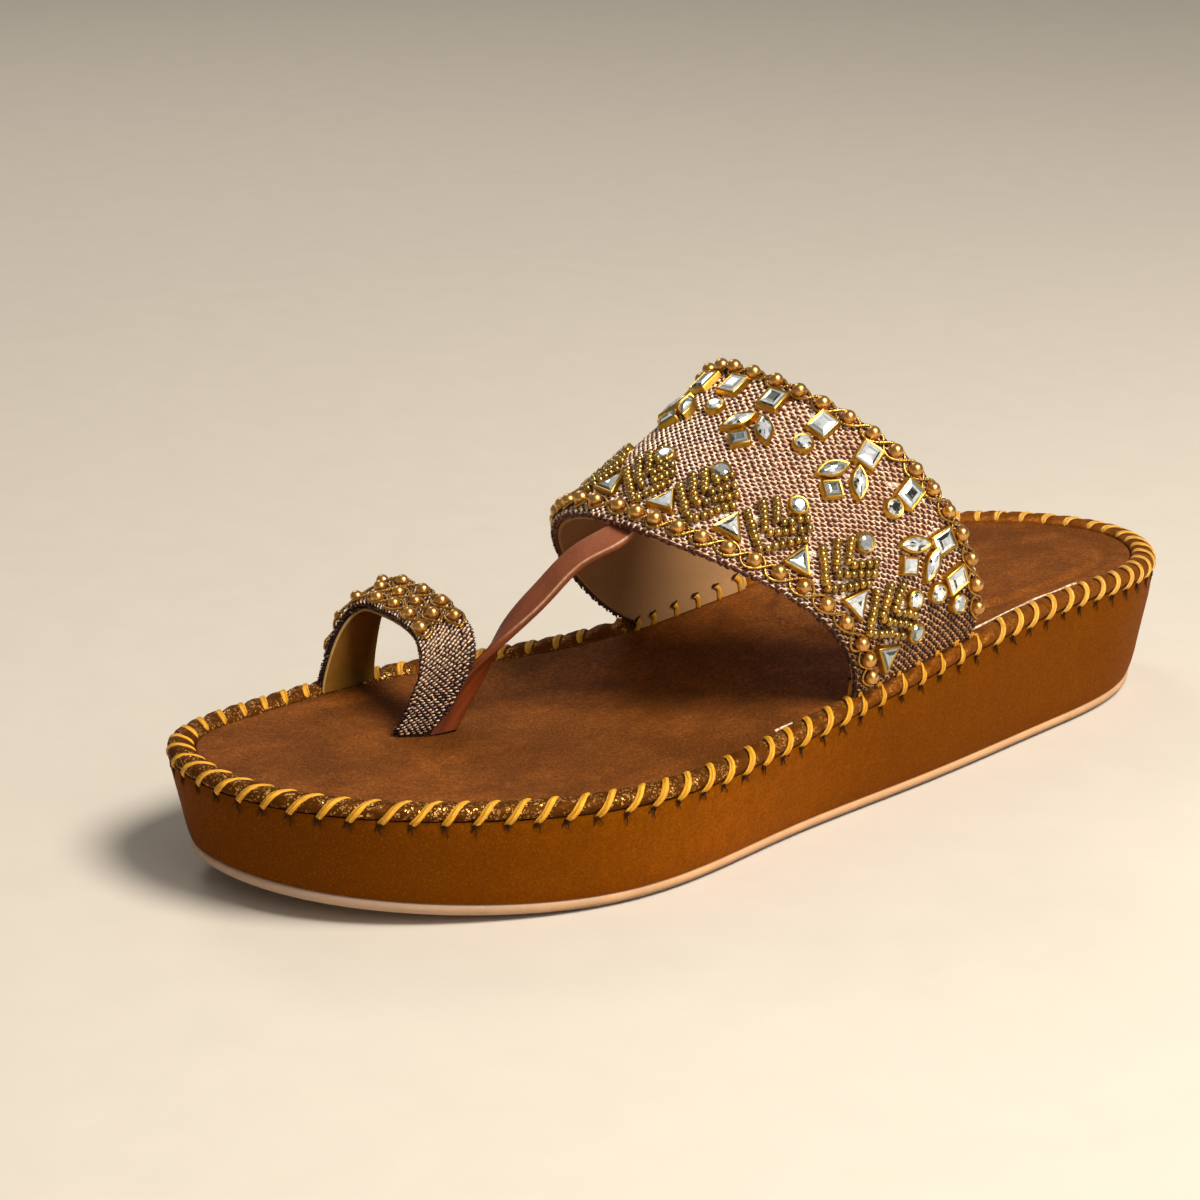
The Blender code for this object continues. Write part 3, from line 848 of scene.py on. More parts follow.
def cloth_ground(name, colour):
    """Cotton ground of the handloom cloth, seen between its floats: dull and fibrous."""
    m = Material(name, colour, 0.85, Specular_IOR_Level=0.2)
    fibre = m.pattern(0.35, detail=3)
    return m.dress((fibre, m.shade(0.6)), (m.ramp("Z", 58, 42), 0.8, m.shade(0.25)), relief=((fibre, 0.12),))


def cloth_threads(name="lurex_threads"):
    """Lurex and cotton threads: the light ones shine like copper foil, the dark ones are dull. The
    tone on each float says which it is, and a tone over one is glue dried white round a stone."""
    if name in bpy.data.materials:
        return bpy.data.materials[name]
    m = Material(name, look().thread_dark, 0.42, 0.35, ("tone",), Specular_IOR_Level=0.3)
    lit, glue = m.ramp(m.reads[0], 0.2, 0.8), m.ramp(m.reads[0], 1.5, 2.0)
    slub = m.pattern(0.5, 0.4, 0.75, 3)
    # Lower down, the dark threads are darker and, away from the toe loop, the light ones golden brown.
    low = m.ramp("Z", 54, 40)
    worn = add_node(m.tree, "ShaderNodeMix", {
        0: lit, 6: (*m.shade(0.3), 1.0), 7: (*linear("c4823a"), 1.0),
    }, data_type="RGBA").outputs[2]
    return m.dress(
        (slub, 0.5, m.shade(1.9)),
        (low, 0.8, m.shade(0.4)),
        (lit, look().thread_light),
        (lit, m.pattern(1.4, 0.5, 0.7, 2), 0.7, "cf9468"),
        (low, m.ramp("X", -110, -20), 0.85, worn),
        (glue, "e4dad0"),
        Metallic=(lit, 0.1, 0.4), relief=((slub, 0.05),),
    )


def lining_leather(name, colour, cut):
    """Unfinished split leather: flat beige brown with fine pores, darker towards its front edge from
    painted shade. Its cut edge may be paler."""
    m = Material(name, colour, 0.82, reads=("edge",), Specular_IOR_Level=0.08)
    pore = m.pattern(0.5, 0.5, 0.78, 4, 0.7)
    return m.dress(
        # Painted shade towards the front.
        (m.ramp("X", 24, -22), 0.7, "84521c"),
        (m.pattern(14, 0.36, 0.66), m.shade(0.78)),
        (m.pattern(2.2, 0.4, 0.7), 0.4, m.shade(0.8)),
        (*m.reads, cut),
        (pore, 0.4, m.shade(0.55)),
        relief=((pore, 0.05),),
    )


def strap_leather():
    """Folded faux leather: reddish brown face with a painted highlight along its glossy outer edge,
    dark and streaked at its foot."""
    m = Material("folded_faux_leather", look().strap, 0.42, 0.1, ("edge",), Specular_IOR_Level=0.3)
    edge, foot = m.reads[0], m.ramp("Z", 54, 34)
    around = add_node(m.tree, "ShaderNodeUVMap", uv_map="surface").outputs[0]
    return m.dress(
        (m.pattern(9, 0.36, 0.68, 3), m.shade(0.72)),
        (m.pattern(0.6, 0.5, 0.75), 0.35, m.shade(1.5)),
        (foot, 0.9, "742e04"),
        (foot, m.pattern(1000, 0.36, 0.66, 4, stretch=(4.0, 16.0, 1.0), place=around), 0.8, "3c1604"),
        # Painted highlight along the folded outer edge, brighter in patches.
        (edge, "ffd298"),
        (edge, m.pattern(1.2, 0.3, 0.6, 5, 0.7), "fff6e0"),
        Roughness=(edge, 0.48, 0.25), relief=((m.pattern(0.6, detail=5), 0.03),),
    )


def waxed_cord():
    """Waxed cotton cord, flattened: golden yellow with fine fibres along it and a soft gloss."""
    m = Material("waxed_cotton_cord", look().cord, 0.5, 0.0, ("run", "round", "tone"), Specular_IOR_Level=0.3)
    strands = add_node(m.tree, "ShaderNodeCombineXYZ", dict(zip("XYZ", m.reads))).outputs[0]
    fibre = m.pattern(1000, 0.36, 0.64, 3, stretch=(0.4, 1.5, 40.0), place=strands)
    return m.dress(
        (m.ramp("X", 10, 90), 0.55, "ffcc70"),
        (fibre, m.shade(0.55)),
        (m.pattern(0.5, 0.6, 0.8), 0.55, "ffe79a"),
        relief=((fibre, 0.10),),
    )


def dark_thread():
    """Waxed sewing thread, cut and burnt: nearly black brown."""
    m = Material("burnt_thread_end", linear("160a04"), 0.7, Specular_IOR_Level=0.15)
    return m.dress((m.pattern(0.6), "341a0a"))


def white_thread():
    """Nylon seam thread: off white, slightly shiny."""
    m = Material("nylon_thread", linear("ead6b8"), 0.4)
    return m.dress((m.pattern(1.2, 0.4, 0.6), "b08858"))


def lacquered_brass(name, colour, roughness):
    """Brass plated and lacquered: warm soft mirror with brown tarnish in patches."""
    m = Material(name, colour, roughness, 1.0, ("tone",))
    tarnish = m.pattern(1.5, 0.45, 0.75, 3)
    return m.dress(
        (*m.reads, 0.35, m.shade(0.6)),
        (tarnish, 0.5, "8a5424"),
        Roughness=(tarnish, roughness - 0.04, roughness + 0.12),
    )


def gilt_purl():
    """Gilt purl: fine wire wound into a hollow cord, so it glints and darkens in short steps."""
    m = Material("gilt_purl_wire", look().brass, 0.3, 1.0, ("run", "tone"))
    wound = add_node(m.tree, "ShaderNodeCombineXYZ", dict(zip("XY", m.reads))).outputs[0]
    turn = m.pattern(420, 0.45, 0.7, 0, place=wound)
    return m.dress((m.pattern(3, 0.4, 0.65), 0.6, "b88850"), (turn, 0.6, "5a3810"), relief=((turn, 0.05),))


def bead_lustre():
    """Gold-lined glass seed beads: olive gold under clear glass, with a hard pale highlight."""
    m = Material("gold_lustre_glass", look().bead, 0.25, 0.85, ("tone",), Coat_Weight=0.6, Coat_Roughness=0.1)
    return m.dress((*m.reads, m.shade(0.55)))


def foiled_glass():
    """Faceted glass over silver foil: every cut face mirrors something else, so it is white, grey or
    nearly black beside its neighbour, and a little golden from the metal round it."""
    m = Material("foiled_glass", look().stone, 0.1, 0.6, ("facet", "tone"),
                 Coat_Weight=0.6, Coat_Roughness=0.03)
    facet, tone = m.reads
    mixed = add_node(m.tree, "ShaderNodeMath", {0: tone, 1: 5.3, 2: facet}, operation="MULTIPLY_ADD")
    value = add_node(m.tree, "ShaderNodeMath", {0: mixed.outputs[0]}, operation="FRACT").outputs[0]
    return m.dress(
        (m.ramp(value, 0.55, 0.75), "8d9690"),
        (m.ramp(value, 0.80, 0.86), "34352c"),
        (m.pattern(0.9, 0.48, 0.66, 2), 0.55, "a8a488"),
        (m.ramp(tone, 0.62, 0.8), 0.6, "666c62"),
    )


def studio_paper():
    """Seamless studio paper: pale, matte, with a faint fibre."""
    m = Material("studio_paper", look().paper, 0.9, Specular_IOR_Level=0.1)
    return m.dress((m.pattern(14, detail=3), m.shade(0.97)))


# ---------------------------------------------------------------- sole pieces
def round_edge(count):
    return np.linspace(0, PERIMETER, count, endpoint=False)


def stitch_count():
    return round(PERIMETER / (sole_sizes().stitch_pitch / MM))


def stitch_phase(run, share):
    """Stitches counted round the edge at a share of the way from the outer to the inner seam."""
    pitch = PERIMETER / stitch_count()
    return run / pitch + STITCH_LEAN * share


class SANDAL_OT_outsole(bpy.types.Operator):
    """Rubber outsole with its buffed edge"""
    bl_idname = "sandal.outsole"
    bl_label = "Outsole"

    def execute(self, context):
        run = round_edge(ROUND // 2)
        bottom = draw_in(edge_at(run)[1])
        rings = []
        for inset, z in ((4.6, 0.35), (3.0, 0.1), *OUTSOLE_EDGE, (2.4, OUTSOLE_THICK)):
            ring = on_sole(run, bottom + inset, 0.0)
            ring[:, 2] = underside(ring[:, 0]) + z
            rings.append(ring)
        finished(swept("outsole_edge", np.array(rings), outsole_rubber(), 45), "outsole_rubber", "outsole")
        return {"FINISHED"}


class SANDAL_OT_platform(bpy.types.Operator):
    """Faux leather wall of the platform, puckered under every whipstitch"""
    bl_idname = "sandal.platform"
    bl_label = "Platform wall"

    def execute(self, context):
        run = round_edge(ROUND)
        _, outward = edge_at(run)
        bottom = draw_in(outward)
        steps = ((0, 0.1, 5), (0.1, 0.7, 8), (0.7, 1, 16))
        shares = np.unique(np.concatenate([np.linspace(*step) for step in steps]))
        wall = spline(*zip(*PLATFORM_WALL))
        phase = stitch_phase(run, 0.0)
        off = np.abs(phase - np.round(phase)) * PERIMETER / stitch_count()
        rings = []
        # The first ring is the lowest one again, tucked in under the wall.
        for share in (-1, *shares):
            tuck = 0.9 if share < 0 else 0.0
            share = max(share, 0)
            ring = on_sole(run, bottom * max(float(wall(share)), 0.02) + tuck, 0.0)
            low = underside(ring[:, 0]) + (OUTSOLE_THICK + WALL_LIFT)
            top = crest_height(ring[:, 0]) - WALL_TOP_DROP
            ring[:, 2] = low + share * (top - low)
            down = top - ring[:, 2]
            dent = WALL_DENT * np.exp(-(off / 0.9) ** 2 - ((down - 0.9) / 1.2) ** 2)
            fold = WALL_FOLD * np.exp(-(off / 0.7) ** 2) * np.exp(-(down / 5.0) ** 2)
            swell = WALL_SWELL * (1 - np.exp(-(off / 1.6) ** 2)) * np.exp(-((down - 1.6) / 1.6) ** 2)
            ring[:, :2] += outward * (swell - dent - fold)[:, None]
            rings.append(ring)
        rings += [on_sole(run, 1.2, WALL_TOP_DROP + 0.1), on_sole(run, SEAT_INSET, SEAT_DROP)]
        finished(swept("platform_wall", np.array(rings), wall_leather(), 55), "platform_leather", "platform")
        return {"FINISHED"}


class SANDAL_OT_rim(bpy.types.Operator):
    """Padded rim roll that puffs out between the whipstitches"""
    bl_idname = "sandal.rim"
    bl_label = "Rim roll"

    def execute(self, context):
        corners = np.array(RIM_SECTION)
        lengths = chord_lengths(corners)
        section = spline(lengths[:-1], corners[:-1])(np.linspace(0, lengths[-2], RIM_STEPS + 1))
        # The rest of the section lies hidden between the wall and the footbed.
        section = np.concatenate((section, [(5.2, 2.6), (5.0, 4.3), (0.9, 3.05)]))
        share = np.clip(np.arange(len(section)) / RIM_STEPS, 0, 1)
        normal = np.gradient(section, axis=0)
        normal = unit(np.stack((normal[:, 1], -normal[:, 0]), axis=1))
        middle = section[:RIM_STEPS + 1].mean(axis=0) + (0, 1.0)
        normal[np.sum(normal * (section - middle), axis=1) < 0] *= -1
        run = round_edge(ROUND)
        points = np.zeros((ROUND, len(section), 3))
        # The cord pulls the roll in at every stitch, most in the middle of its outer face.
        held = np.sin(np.pi * np.clip(share * 1.04, 0, 1)) ** 0.6
        puff = sole_sizes().puff / MM
        for k in range(len(section)):
            near = np.abs(np.sin(np.pi * stitch_phase(run, float(share[k]))))
            swell = (near ** 0.7 - 0.62) * puff * (0.35 + 0.65 * held[k]) if k <= RIM_STEPS else 0 * near
            wave = 0.05 * np.sin(run * 0.71 + k) * np.sin(run * 1.9)
            points[:, k] = on_sole(run, *((section[k] + normal[k] * (swell + wave)[:, None]).T))
        run = np.append(run, PERIMETER) / 100
        obj = swept("rim_roll_padded", points, rim_leather(), 60, run, capped=False)
        finished(obj, "rim_leather", "rim_roll")
        return {"FINISHED"}


HEEL_SEAT_X, HEEL_SEAT_Y, HEEL_SEAT_LONG, HEEL_SEAT_BROAD = 66.0, 0.5, 47.0, 24.0
# Creases of the footbed: middle x and y, slope and reach across.
FOOTBED_CREASES = (
    (-86, 8, 0.35, 26), (-79, -10, -0.18, 30), (-30, -2, 0.22, 26), (-22, 4, -0.3, 20), (4, -8, 0.12, 24),
)


def footbed_shape(x, y, inset):
    """Height of the footbed's top over its flat solid: dish, heel seat, creases and slit dimples."""
    inside = smooth_step(7.0, 17.0, inset)
    dish = sole_sizes().dish / MM
    hollow = bump(x, 78, 36) + 0.8 * bump(x, -62, 34)
    high = -dish * inside * np.clip(hollow, 0, 1)
    heel = np.hypot((x - HEEL_SEAT_X) / HEEL_SEAT_LONG, (y - HEEL_SEAT_Y) / HEEL_SEAT_BROAD)
    rim = (heel - 1.0) * HEEL_SEAT_BROAD
    high += np.where(x > 20, 0.7 * smooth_step(0.8, -0.8, rim) - 0.42 * bump(rim, 1.5, 0.9), 0.0)
    for cx, cy, slope, reach in FOOTBED_CREASES:
        off = (x - cx) - slope * (y - cy)
        across = bump(y, cy, reach)
        high -= 0.12 * bump(off, 0, 0.9) * across - 0.07 * bump(off, 2.0, 1.6) * across
    slit_x, slit_y, _ = STRAP_ROUTE[0]
    high -= 0.5 * bump(x, slit_x, 3.4) * bump(y, slit_y, 2.6)
    return high


class SANDAL_OT_footbed(bpy.types.Operator):
    """Cushioned footbed with its heel seat, dish and faint creases"""
    bl_idname = "sandal.footbed"
    bl_label = "Footbed"

    def execute(self, context):
        half, columns = 360, 90
        lateral_run = np.linspace(HEEL_RUN, PERIMETER, half + 1)
        run = np.concatenate((np.linspace(0, HEEL_RUN, half + 1), lateral_run[1:-1]))
        count = len(run)
        rings = [on_sole(run, inset, drop) for inset, drop in FOOTBED_SECTION]
        # The top is a grid across the sole, from the last ring's medial side to its lateral side.
        edge = rings[-1]
        medial, lateral = edge[:half + 1], np.concatenate((edge[:1], edge[:half - 1:-1]))
        share = np.linspace(0, 1, columns + 1)[:, None, None]
        top = medial * (1 - share) + lateral * share
        top[..., 2] = crest_height(top[..., 0]) - FOOTBED_DROP
        inset = inset_of(top[..., 0], top[..., 1])
        top[..., 2] += footbed_shape(top[..., 0], top[..., 1], inset) * smooth_step(7.2, 9.5, inset)
        faces = grid_faces(len(rings), count, wrap_columns=True)[0]
        faces += grid_faces(columns + 1, half + 1, first=len(rings) * count)[0]
        for k in range(half):
            faces.append(list(dict.fromkeys((k, k + 1, (count - k - 1) % count, (count - k) % count))))
        vertices = np.concatenate([*rings, top.reshape(-1, 3)])
        mesh = closed_mesh("footbed_cushion", vertices, faces, 50, merge=0.004)
        obj = new_object("footbed_cushion", mesh, footbed_leather())
        finished(obj, "footbed_suede", "footbed")
        return {"FINISHED"}


def foot_stitch(side, deep, run, inside, pitch, path, reach):
    """Stitch at the band's foot: over the roll and into the cloth, or out of the footbed's seam and up
    the lining. side is -1 at the lateral foot and 1 at the medial foot."""
    foot = 0.4 if side < 0 else BAND.length - 0.4
    _, way, across, normal = BAND.frame(foot, deep)
    up = np.array((0.0, 0.0, 1.0)) - normal * normal[2]
    rise = np.array((1.4, 2.5, 3.4) if inside else (0.6, 1.5))
    height = -(BAND_WALL + 0.22) if inside else 0.30
    on_band, normal = BAND.path(foot + rise * (up @ way), deep + rise * (up @ across), height)
    if inside:
        below = on_sole(run, np.array((5.25, 5.5)), np.array((2.0, 1.3)))
        below[:, :2] += (on_band[0, :2] - below[-1, :2]) * ((0.6,), (0.8,))
        normal = -normal
    else:
        place = path(np.array((0.0, 0.06, 0.16, 0.3, 0.45, 0.62)) * reach)
        below = on_sole(run - place[:, 2] * pitch * 0.3, place[:, 0], place[:, 1])
    corners = np.concatenate((below, on_band))
    lengths = chord_lengths(corners)
    points = spline(lengths, corners)(np.linspace(0, lengths[-1], 20))
    return points, normal[-1]


def band_feet():
    """Runs along the edge that the band's feet cover, in order, and how deep in the band each is, by side."""
    covered = {}
    for side, ends in ((-1, (HEEL_RUN, PERIMETER)), (1, (0, HEEL_RUN))):
        share = np.linspace(0, 1, 60)
        runs = np.linspace(*ends, 1500)
        edge = edge_at(runs)[0]
        foot = strap_point(BAND_ROWS, float(side), share)
        nearest = np.array([runs[np.argmin(np.hypot(*(edge - f[:2]).T))] for f in foot])
        order = np.argsort(nearest)
        covered[side] = (nearest[order], (share * BAND.width_at(0.0 if side < 0 else BAND.length))[order])
    return covered


class SANDAL_OT_whipstitches(bpy.types.Operator):
    """Waxed cord whipstitched over the rim, with the thread ends under it on the wall"""
    bl_idname = "sandal.whipstitches"
    bl_label = "Whipstitches"

    def execute(self, context):
        rng = np.random.default_rng(11)
        sizes = sole_sizes()
        pitch = PERIMETER / stitch_count()
        corners = np.array(STITCH_PATH)
        lengths = chord_lengths(corners[:, :2])
        path, reach = spline(lengths, corners), lengths[-1]
        feet = band_feet()
        lines, ends, knots = [], [], []

        def lay(points, away_from, tone, share=1.0):
            steps = np.linspace(0, 1, len(points))
            tangent = unit(np.gradient(points, axis=0))
            off = unit(points - away_from)
            normal = unit(off - tangent * np.sum(off * tangent, axis=1, keepdims=True))
            taper = np.clip(np.minimum(steps / 0.10, (1.0 - steps) / 0.12), 0, 1)
            width = (0.55 + 0.45 * taper ** 0.6) * (share * (1 + 0.06 * np.sin(steps * 9 + tone * 20)))
            lines.append((points, normal, width, tone))

        for k in range(stitch_count()):
            where = k * pitch
            shift, lean, tone = rng.normal(0, 0.18), rng.normal(0, 0.06), float(rng.random())
            ends.append(where + shift)
            covered = False
            for side, (runs, deeps) in feet.items():
                if runs[0] - 0.4 * pitch < where < runs[-1] + 0.4 * pitch:
                    covered = True
                    deep = float(np.clip(np.interp(where, runs, deeps), 0.8, deeps.max() - 0.8))
                    for inside in (False, True):
                        over, normal = foot_stitch(side, deep, where + shift, inside, pitch, path, reach)
                        lay(over, over - normal * 3.0, tone, 0.8 if inside else 1.0)
                    knots.append((over[-1] + normal * 0.25, normal, rng.normal(0, 0.5)))
            if not covered:
                place = path(np.linspace(0.0, 1.0, 24) * reach)
                run = where + shift - place[:, 2] * pitch * (STITCH_LEAN + lean)
                lay(on_sole(run, place[:, 0], place[:, 1]), on_sole(run, 2.4, 2.8), tone)
        obj = cords("whipstitches", lines, waxed_cord(), sizes.cord_width / MM, sizes.cord_thick / MM, 10)
        finished(obj, "whipstitch_cord")

        # Each stitch leaves three or four thread ends on the wall, and a knot inside the band's feet.
        tails = []
        steps = np.linspace(0, 1, 6)
        for run in ends:
            for tail in range(4 if rng.random() > 0.6 else 3):
                down = (0.8, rng.uniform(1.5, 3.0), rng.uniform(0.9, 2.0), rng.uniform(-0.2, 0.5))[tail]
                beside = (rng.uniform(-0.3, 0.3), -rng.uniform(0.1, 1.3),
                          rng.uniform(0.1, 1.2), -rng.uniform(0.9, 1.8))[tail]
                thick = (2.3, 1.0, 0.9, 0.8)[tail]
                at = run + rng.uniform(-0.3, 0.3) + beside * steps + rng.normal(0, 0.1, 6)
                points = on_sole(at, -0.02, 3.75 + down * steps ** 1.2)
                normal = np.concatenate((edge_at(at)[1], np.zeros((6, 1))), axis=1)
                tails.append((points, normal, thick * (1.1 - 0.7 * steps), float(rng.random())))
        for spot, normal, tilt in knots:
            side = unit(np.cross(normal, (0.0, 0.0, 1.0)))
            way = unit(np.array((0.0, 0.0, 0.5 + 0.4 * tilt)) - side)
            points = spot + np.linspace(-0.5, 1.3, 5)[:, None] * way
            widths = np.array((1.5, 1.8, 1.4, 1.0, 0.6))
            tails.append((points, np.tile(normal, (5, 1)), widths, float(rng.random())))
        finished(cords("thread_ends", tails, dark_thread(), 0.40, 0.34, 6), "whipstitch_cord")
        return {"FINISHED"}


class SANDAL_OT_seam_thread(bpy.types.Operator):
    """Pale seam thread that shows beside the heel, in the seam inside the rim"""
    bl_idname = "sandal.seam_thread"
    bl_label = "Seam thread"

    def execute(self, context):
        runs = np.linspace(HEEL_RUN, PERIMETER, 2400)
        x = edge_at(runs)[0][:, 0]
        lines = []
        for low, high in SEAM_THREAD_X:
            run = runs[(x > low) & (x < high)]
            run = np.linspace(run[0], run[-1], max(12, int(np.ptp(run) / 1.2)))
            sway = np.sin(run * 0.5)
            points = on_sole(run, 4.5 + 0.15 * sway, 0.2 + 0.15 * sway)
            up = np.tile((0.0, 0.0, 1.0), (len(run), 1))
            lines.append((points, up, 0.95 + 0.3 * np.sin(run * 0.37), 0.0))
        obj = cords("seam_thread", lines, white_thread(), 0.55, 0.5, 6)
        finished(obj, "whipstitch_cord")
        return {"FINISHED"}


# ---------------------------------------------------------------- strap pieces
def strap_sheet(name, strap, material, top, bottom, margin, rows=260, columns=56):
    """Closed sheet inside a strap's wall between two depths, its edges rounded."""
    feet = np.linspace(-1, -0.9, FOOT_ROWS)[:-1], np.linspace(0.9, 1, FOOT_ROWS)[1:]
    t = np.concatenate((feet[0], np.linspace(-0.9, 0.9, rows), feet[1]))
    radius = (bottom - top) / 2
    bend = np.linspace(-np.pi / 2, np.pi / 2, EDGE_SAMPLES + 2)[1:-1]
    out, deeper = radius * np.cos(bend), radius * np.sin(bend)
    depth = np.concatenate((
        np.full(columns, top), top + radius + deeper, np.full(columns, bottom), top + radius - deeper,
    ))
    share = []
    for width in np.interp(t, strap.t, strap.widths):
        low, high = margin + radius, width - margin - radius
        flat = low + np.linspace(0, 1, columns) * (high - low)
        share.append(np.concatenate((flat, high + out, flat[::-1], low - out)) / width)
    point, _, _, normal = strap_frame(strap.rows, t[:, None], np.array(share))
    points = point - normal * depth[:, None]
    for k in (*range(FOOT_ROWS), *range(len(t) - FOOT_ROWS, len(t))):
        seat = ground(points[k, :, 0], points[k, :, 1]) + 0.08
        points[k, :, 2] = seat if k in (0, len(t) - 1) else np.maximum(points[k, :, 2], seat)
    # Caps join the samples facing each other, so the section starts at the middle of its front edge.
    half = (EDGE_SAMPLES + 1) // 2
    v = np.roll(np.linspace(0, 1, len(depth), endpoint=False), half)
    run = np.interp(t, strap.t, strap.run)
    obj = swept(name, np.roll(points, half, axis=1), material, 60, run / 100, np.append(v, v[0]))
    edge = np.zeros(len(depth))
    edge[columns:columns + EDGE_SAMPLES] = edge[-EDGE_SAMPLES:] = 1.0
    mark(obj.data, "edge", np.tile(np.roll(edge, half), len(t)))
    return obj


def lay_sheets(label, strap, split, node, cotton, lining, gap, margin, **samples):
    """Cloth and lining of a strap. Gives the radius of the cloth's rounded edges."""
    middle = strap.wall * split
    cloth = strap_sheet(label + "_cloth", strap, cotton, CLOTH_DEPTH, middle, 0.0, **samples)
    finished(cloth, "woven_cloth", node)
    inside = strap_sheet(label + "_lining", strap, lining, middle + gap, strap.wall, margin, **samples)
    finished(inside, "lining_leather", node)
    return (middle - CLOTH_DEPTH) / 2


Thread = namedtuple("Thread", "odd shift turned long broad high tone")
# Floats of the two cloths: which crossings they stand on, share of the row pitch that they are off it,
# turn from along to across, length, breadth, height, and 0 for dark to 1 for light.
BAND_WEFT = (Thread(0, 0.0, 0.04, 1.60, 0.60, 0.42, 0.0), Thread(0, 0.5, -0.05, 1.65, 0.30, 0.36, 0.88))
BAND_WARP = (Thread(1, 0.0, 1.85, 1.05, 0.31, 0.46, 1.0),)
LOOP_THREADS = (Thread(0, 0.0, 0.95, 1.02, 0.36, 0.46, 0.85), Thread(1, 0.0, 0.85, 0.90, 0.34, 0.36, 0.22))
# A float of size 1: its section, which it has twice between two pointed ends, and its faces.
FLOAT_SECTION = ((-0.5, 0.0), (-0.24, 0.85), (0.24, 0.85), (0.5, 0.0))
FLOAT_FACES = (
    (0, 1, 5, 4), (1, 2, 6, 5), (2, 3, 7, 6), (8, 1, 0), (8, 2, 1), (8, 3, 2),
    (9, 4, 5), (9, 5, 6), (9, 6, 7), (0, 3, 8), (0, 4, 7, 3), (4, 9, 7),
)


def weave(name, strap, radius, threads, pitch, seed, sites=()):
    """Floats of the cloth's threads on its crossings, set by a tree."""
    step_a, step_v = (p / MM for p in pitch)
    rows = int(strap.widths.max() / step_v / 2) + 2
    i, j = np.meshgrid(np.arange(int(strap.length / step_a)), np.arange(-rows, rows + 1), indexing="ij")
    i, j = i.ravel(), j.ravel()
    rng = np.random.default_rng(seed)
    wander = 0.10 * np.sin(i * 0.45 + rng.random(500)[j + rows] * 6)
    laid = []
    for kind, thread in enumerate(threads):
        here = (i + j) % 2 == thread.odd
        off = (j[here] + thread.shift) * step_v
        along = (i[here] + 0.5) * step_a
        laid.append(np.stack((along, off, wander[here], np.full(len(off), kind)), axis=1))
    along, off, wander, kind = np.concatenate(laid).T
    width = strap.width_at(along)
    keep = (np.abs(off) < width / 2 + radius * 1.1) & (along > 0.7) & (along < strap.length - 0.7)
    along, deep, kind = along[keep], (width / 2 + off + wander)[keep], kind[keep].astype(int)
    count = len(along)
    along, deep = along + rng.normal(0, 0.07, count), deep + rng.normal(0, 0.04, count)
    point, way, across, normal = strap.wrapped(along, deep, radius, 0.04)
    _, _, turned_by, long, broad, high, tone = np.array(threads)[kind].T
    turned_by = (turned_by + rng.normal(0, 0.1, count))[:, None]
    direction = unit(way * np.cos(turned_by) + across * np.sin(turned_by))
    shape_size = np.stack((long, broad, high), axis=1) * rng.uniform(0.78, 1.2, (count, 3))
    worn = 1 - 0.2 * smooth_step(17.0, 8.0, along + 4 * np.sin(deep * 0.4))
    tone = tone * rng.uniform(0.6, 1.08, count) * worn
    # Floats that turn over the strap's rounded edges are darkened: painted shade.
    edge = np.maximum(radius - deep, deep - strap.width_at(along) + radius) / radius
    tone[edge > 0.9] *= 0.3
    if sites:
        gap = np.min([np.hypot(along - a, deep - v) - reach for a, v, reach in sites], axis=0)
        patch = np.sin(along * 0.9 + 2) * np.sin(deep * 0.7 + along * 0.3) > 0.35
        tone[(gap < 0.9) & patch & (rng.random(count) < 0.6)] = 2.0
    vertices = [(x, y, z) for x in (-0.26, 0.26) for y, z in FLOAT_SECTION]
    shape = closed_mesh("thread_float", vertices + [(-0.5, 0, -0.1), (0.5, 0, -0.1)], FLOAT_FACES, 85)
    return set_on(name, shape, [(point, direction, normal)], cloth_threads(), tone, shape_size)


def motif(k):
    """Run along the band of a triangle or, with a half, of the middle between two."""
    return TRIANGLE_FIRST + MOTIF_PITCH * k


def ornament_sites():
    """Places of the set stones on the band as along, deep and how far they reach."""
    return [
        *[(motif(k), TRIANGLE_DEEP, 3.2) for k in range(TRIANGLES)],
        *[(a, BAND.width_at(a) - RECTANGLE_FROM_BACK, 3.0) for a in RECTANGLES_ALONG],
        *[(a, BAND.width_at(a) * 0.72, 4.0) for a in LEAVES_ALONG],
        *[(motif(k + 0.5), 13.0, 6.0) for k in range(TRIANGLES - 1)],
    ]


class SANDAL_OT_band(bpy.types.Operator):
    """Handloom cloth of the instep band, its woven threads and its lining"""
    bl_idname = "sandal.band"
    bl_label = "Instep band"

    def execute(self, context):
        cotton = cloth_ground("band_ground", look().ground)
        lining = lining_leather("split_leather", look().lining, look().lining)
        radius = lay_sheets("band", BAND, BAND_SPLIT, "upper", cotton, lining, 0.03, 0.45)
        sizes = strap_sizes()
        pitch = (sizes.thread_along, sizes.thread_across)
        for name, threads in (("band_weft", BAND_WEFT), ("band_warp", BAND_WARP)):
            finished(weave(name, BAND, radius, threads, pitch, 5, ornament_sites()), "woven_cloth", "upper")
        return {"FINISHED"}


class SANDAL_OT_toe_loop(bpy.types.Operator):
    """Cloth, threads and lining of the toe loop"""
    bl_idname = "sandal.toe_loop"
    bl_label = "Toe loop"

    def execute(self, context):
        cotton = cloth_ground("loop_ground", [c * 0.45 for c in look().thread_dark])
        # The loop's lining is soiled, and darker still from painted shade inside the loop.
        lining = lining_leather("worn_split_leather", linear("6e4a12"), linear("a88850"))
        samples = {"rows": 120, "columns": 20}
        radius = lay_sheets("loop", LOOP, LOOP_SPLIT, "toe_loop", cotton, lining, 0.02, 0.15, **samples)
        sizes = strap_sizes()
        pitch = (sizes.loop_along, sizes.loop_across)
        finished(weave("loop_weave", LOOP, radius, LOOP_THREADS, pitch, 6), "woven_cloth", "toe_loop")
        return {"FINISHED"}


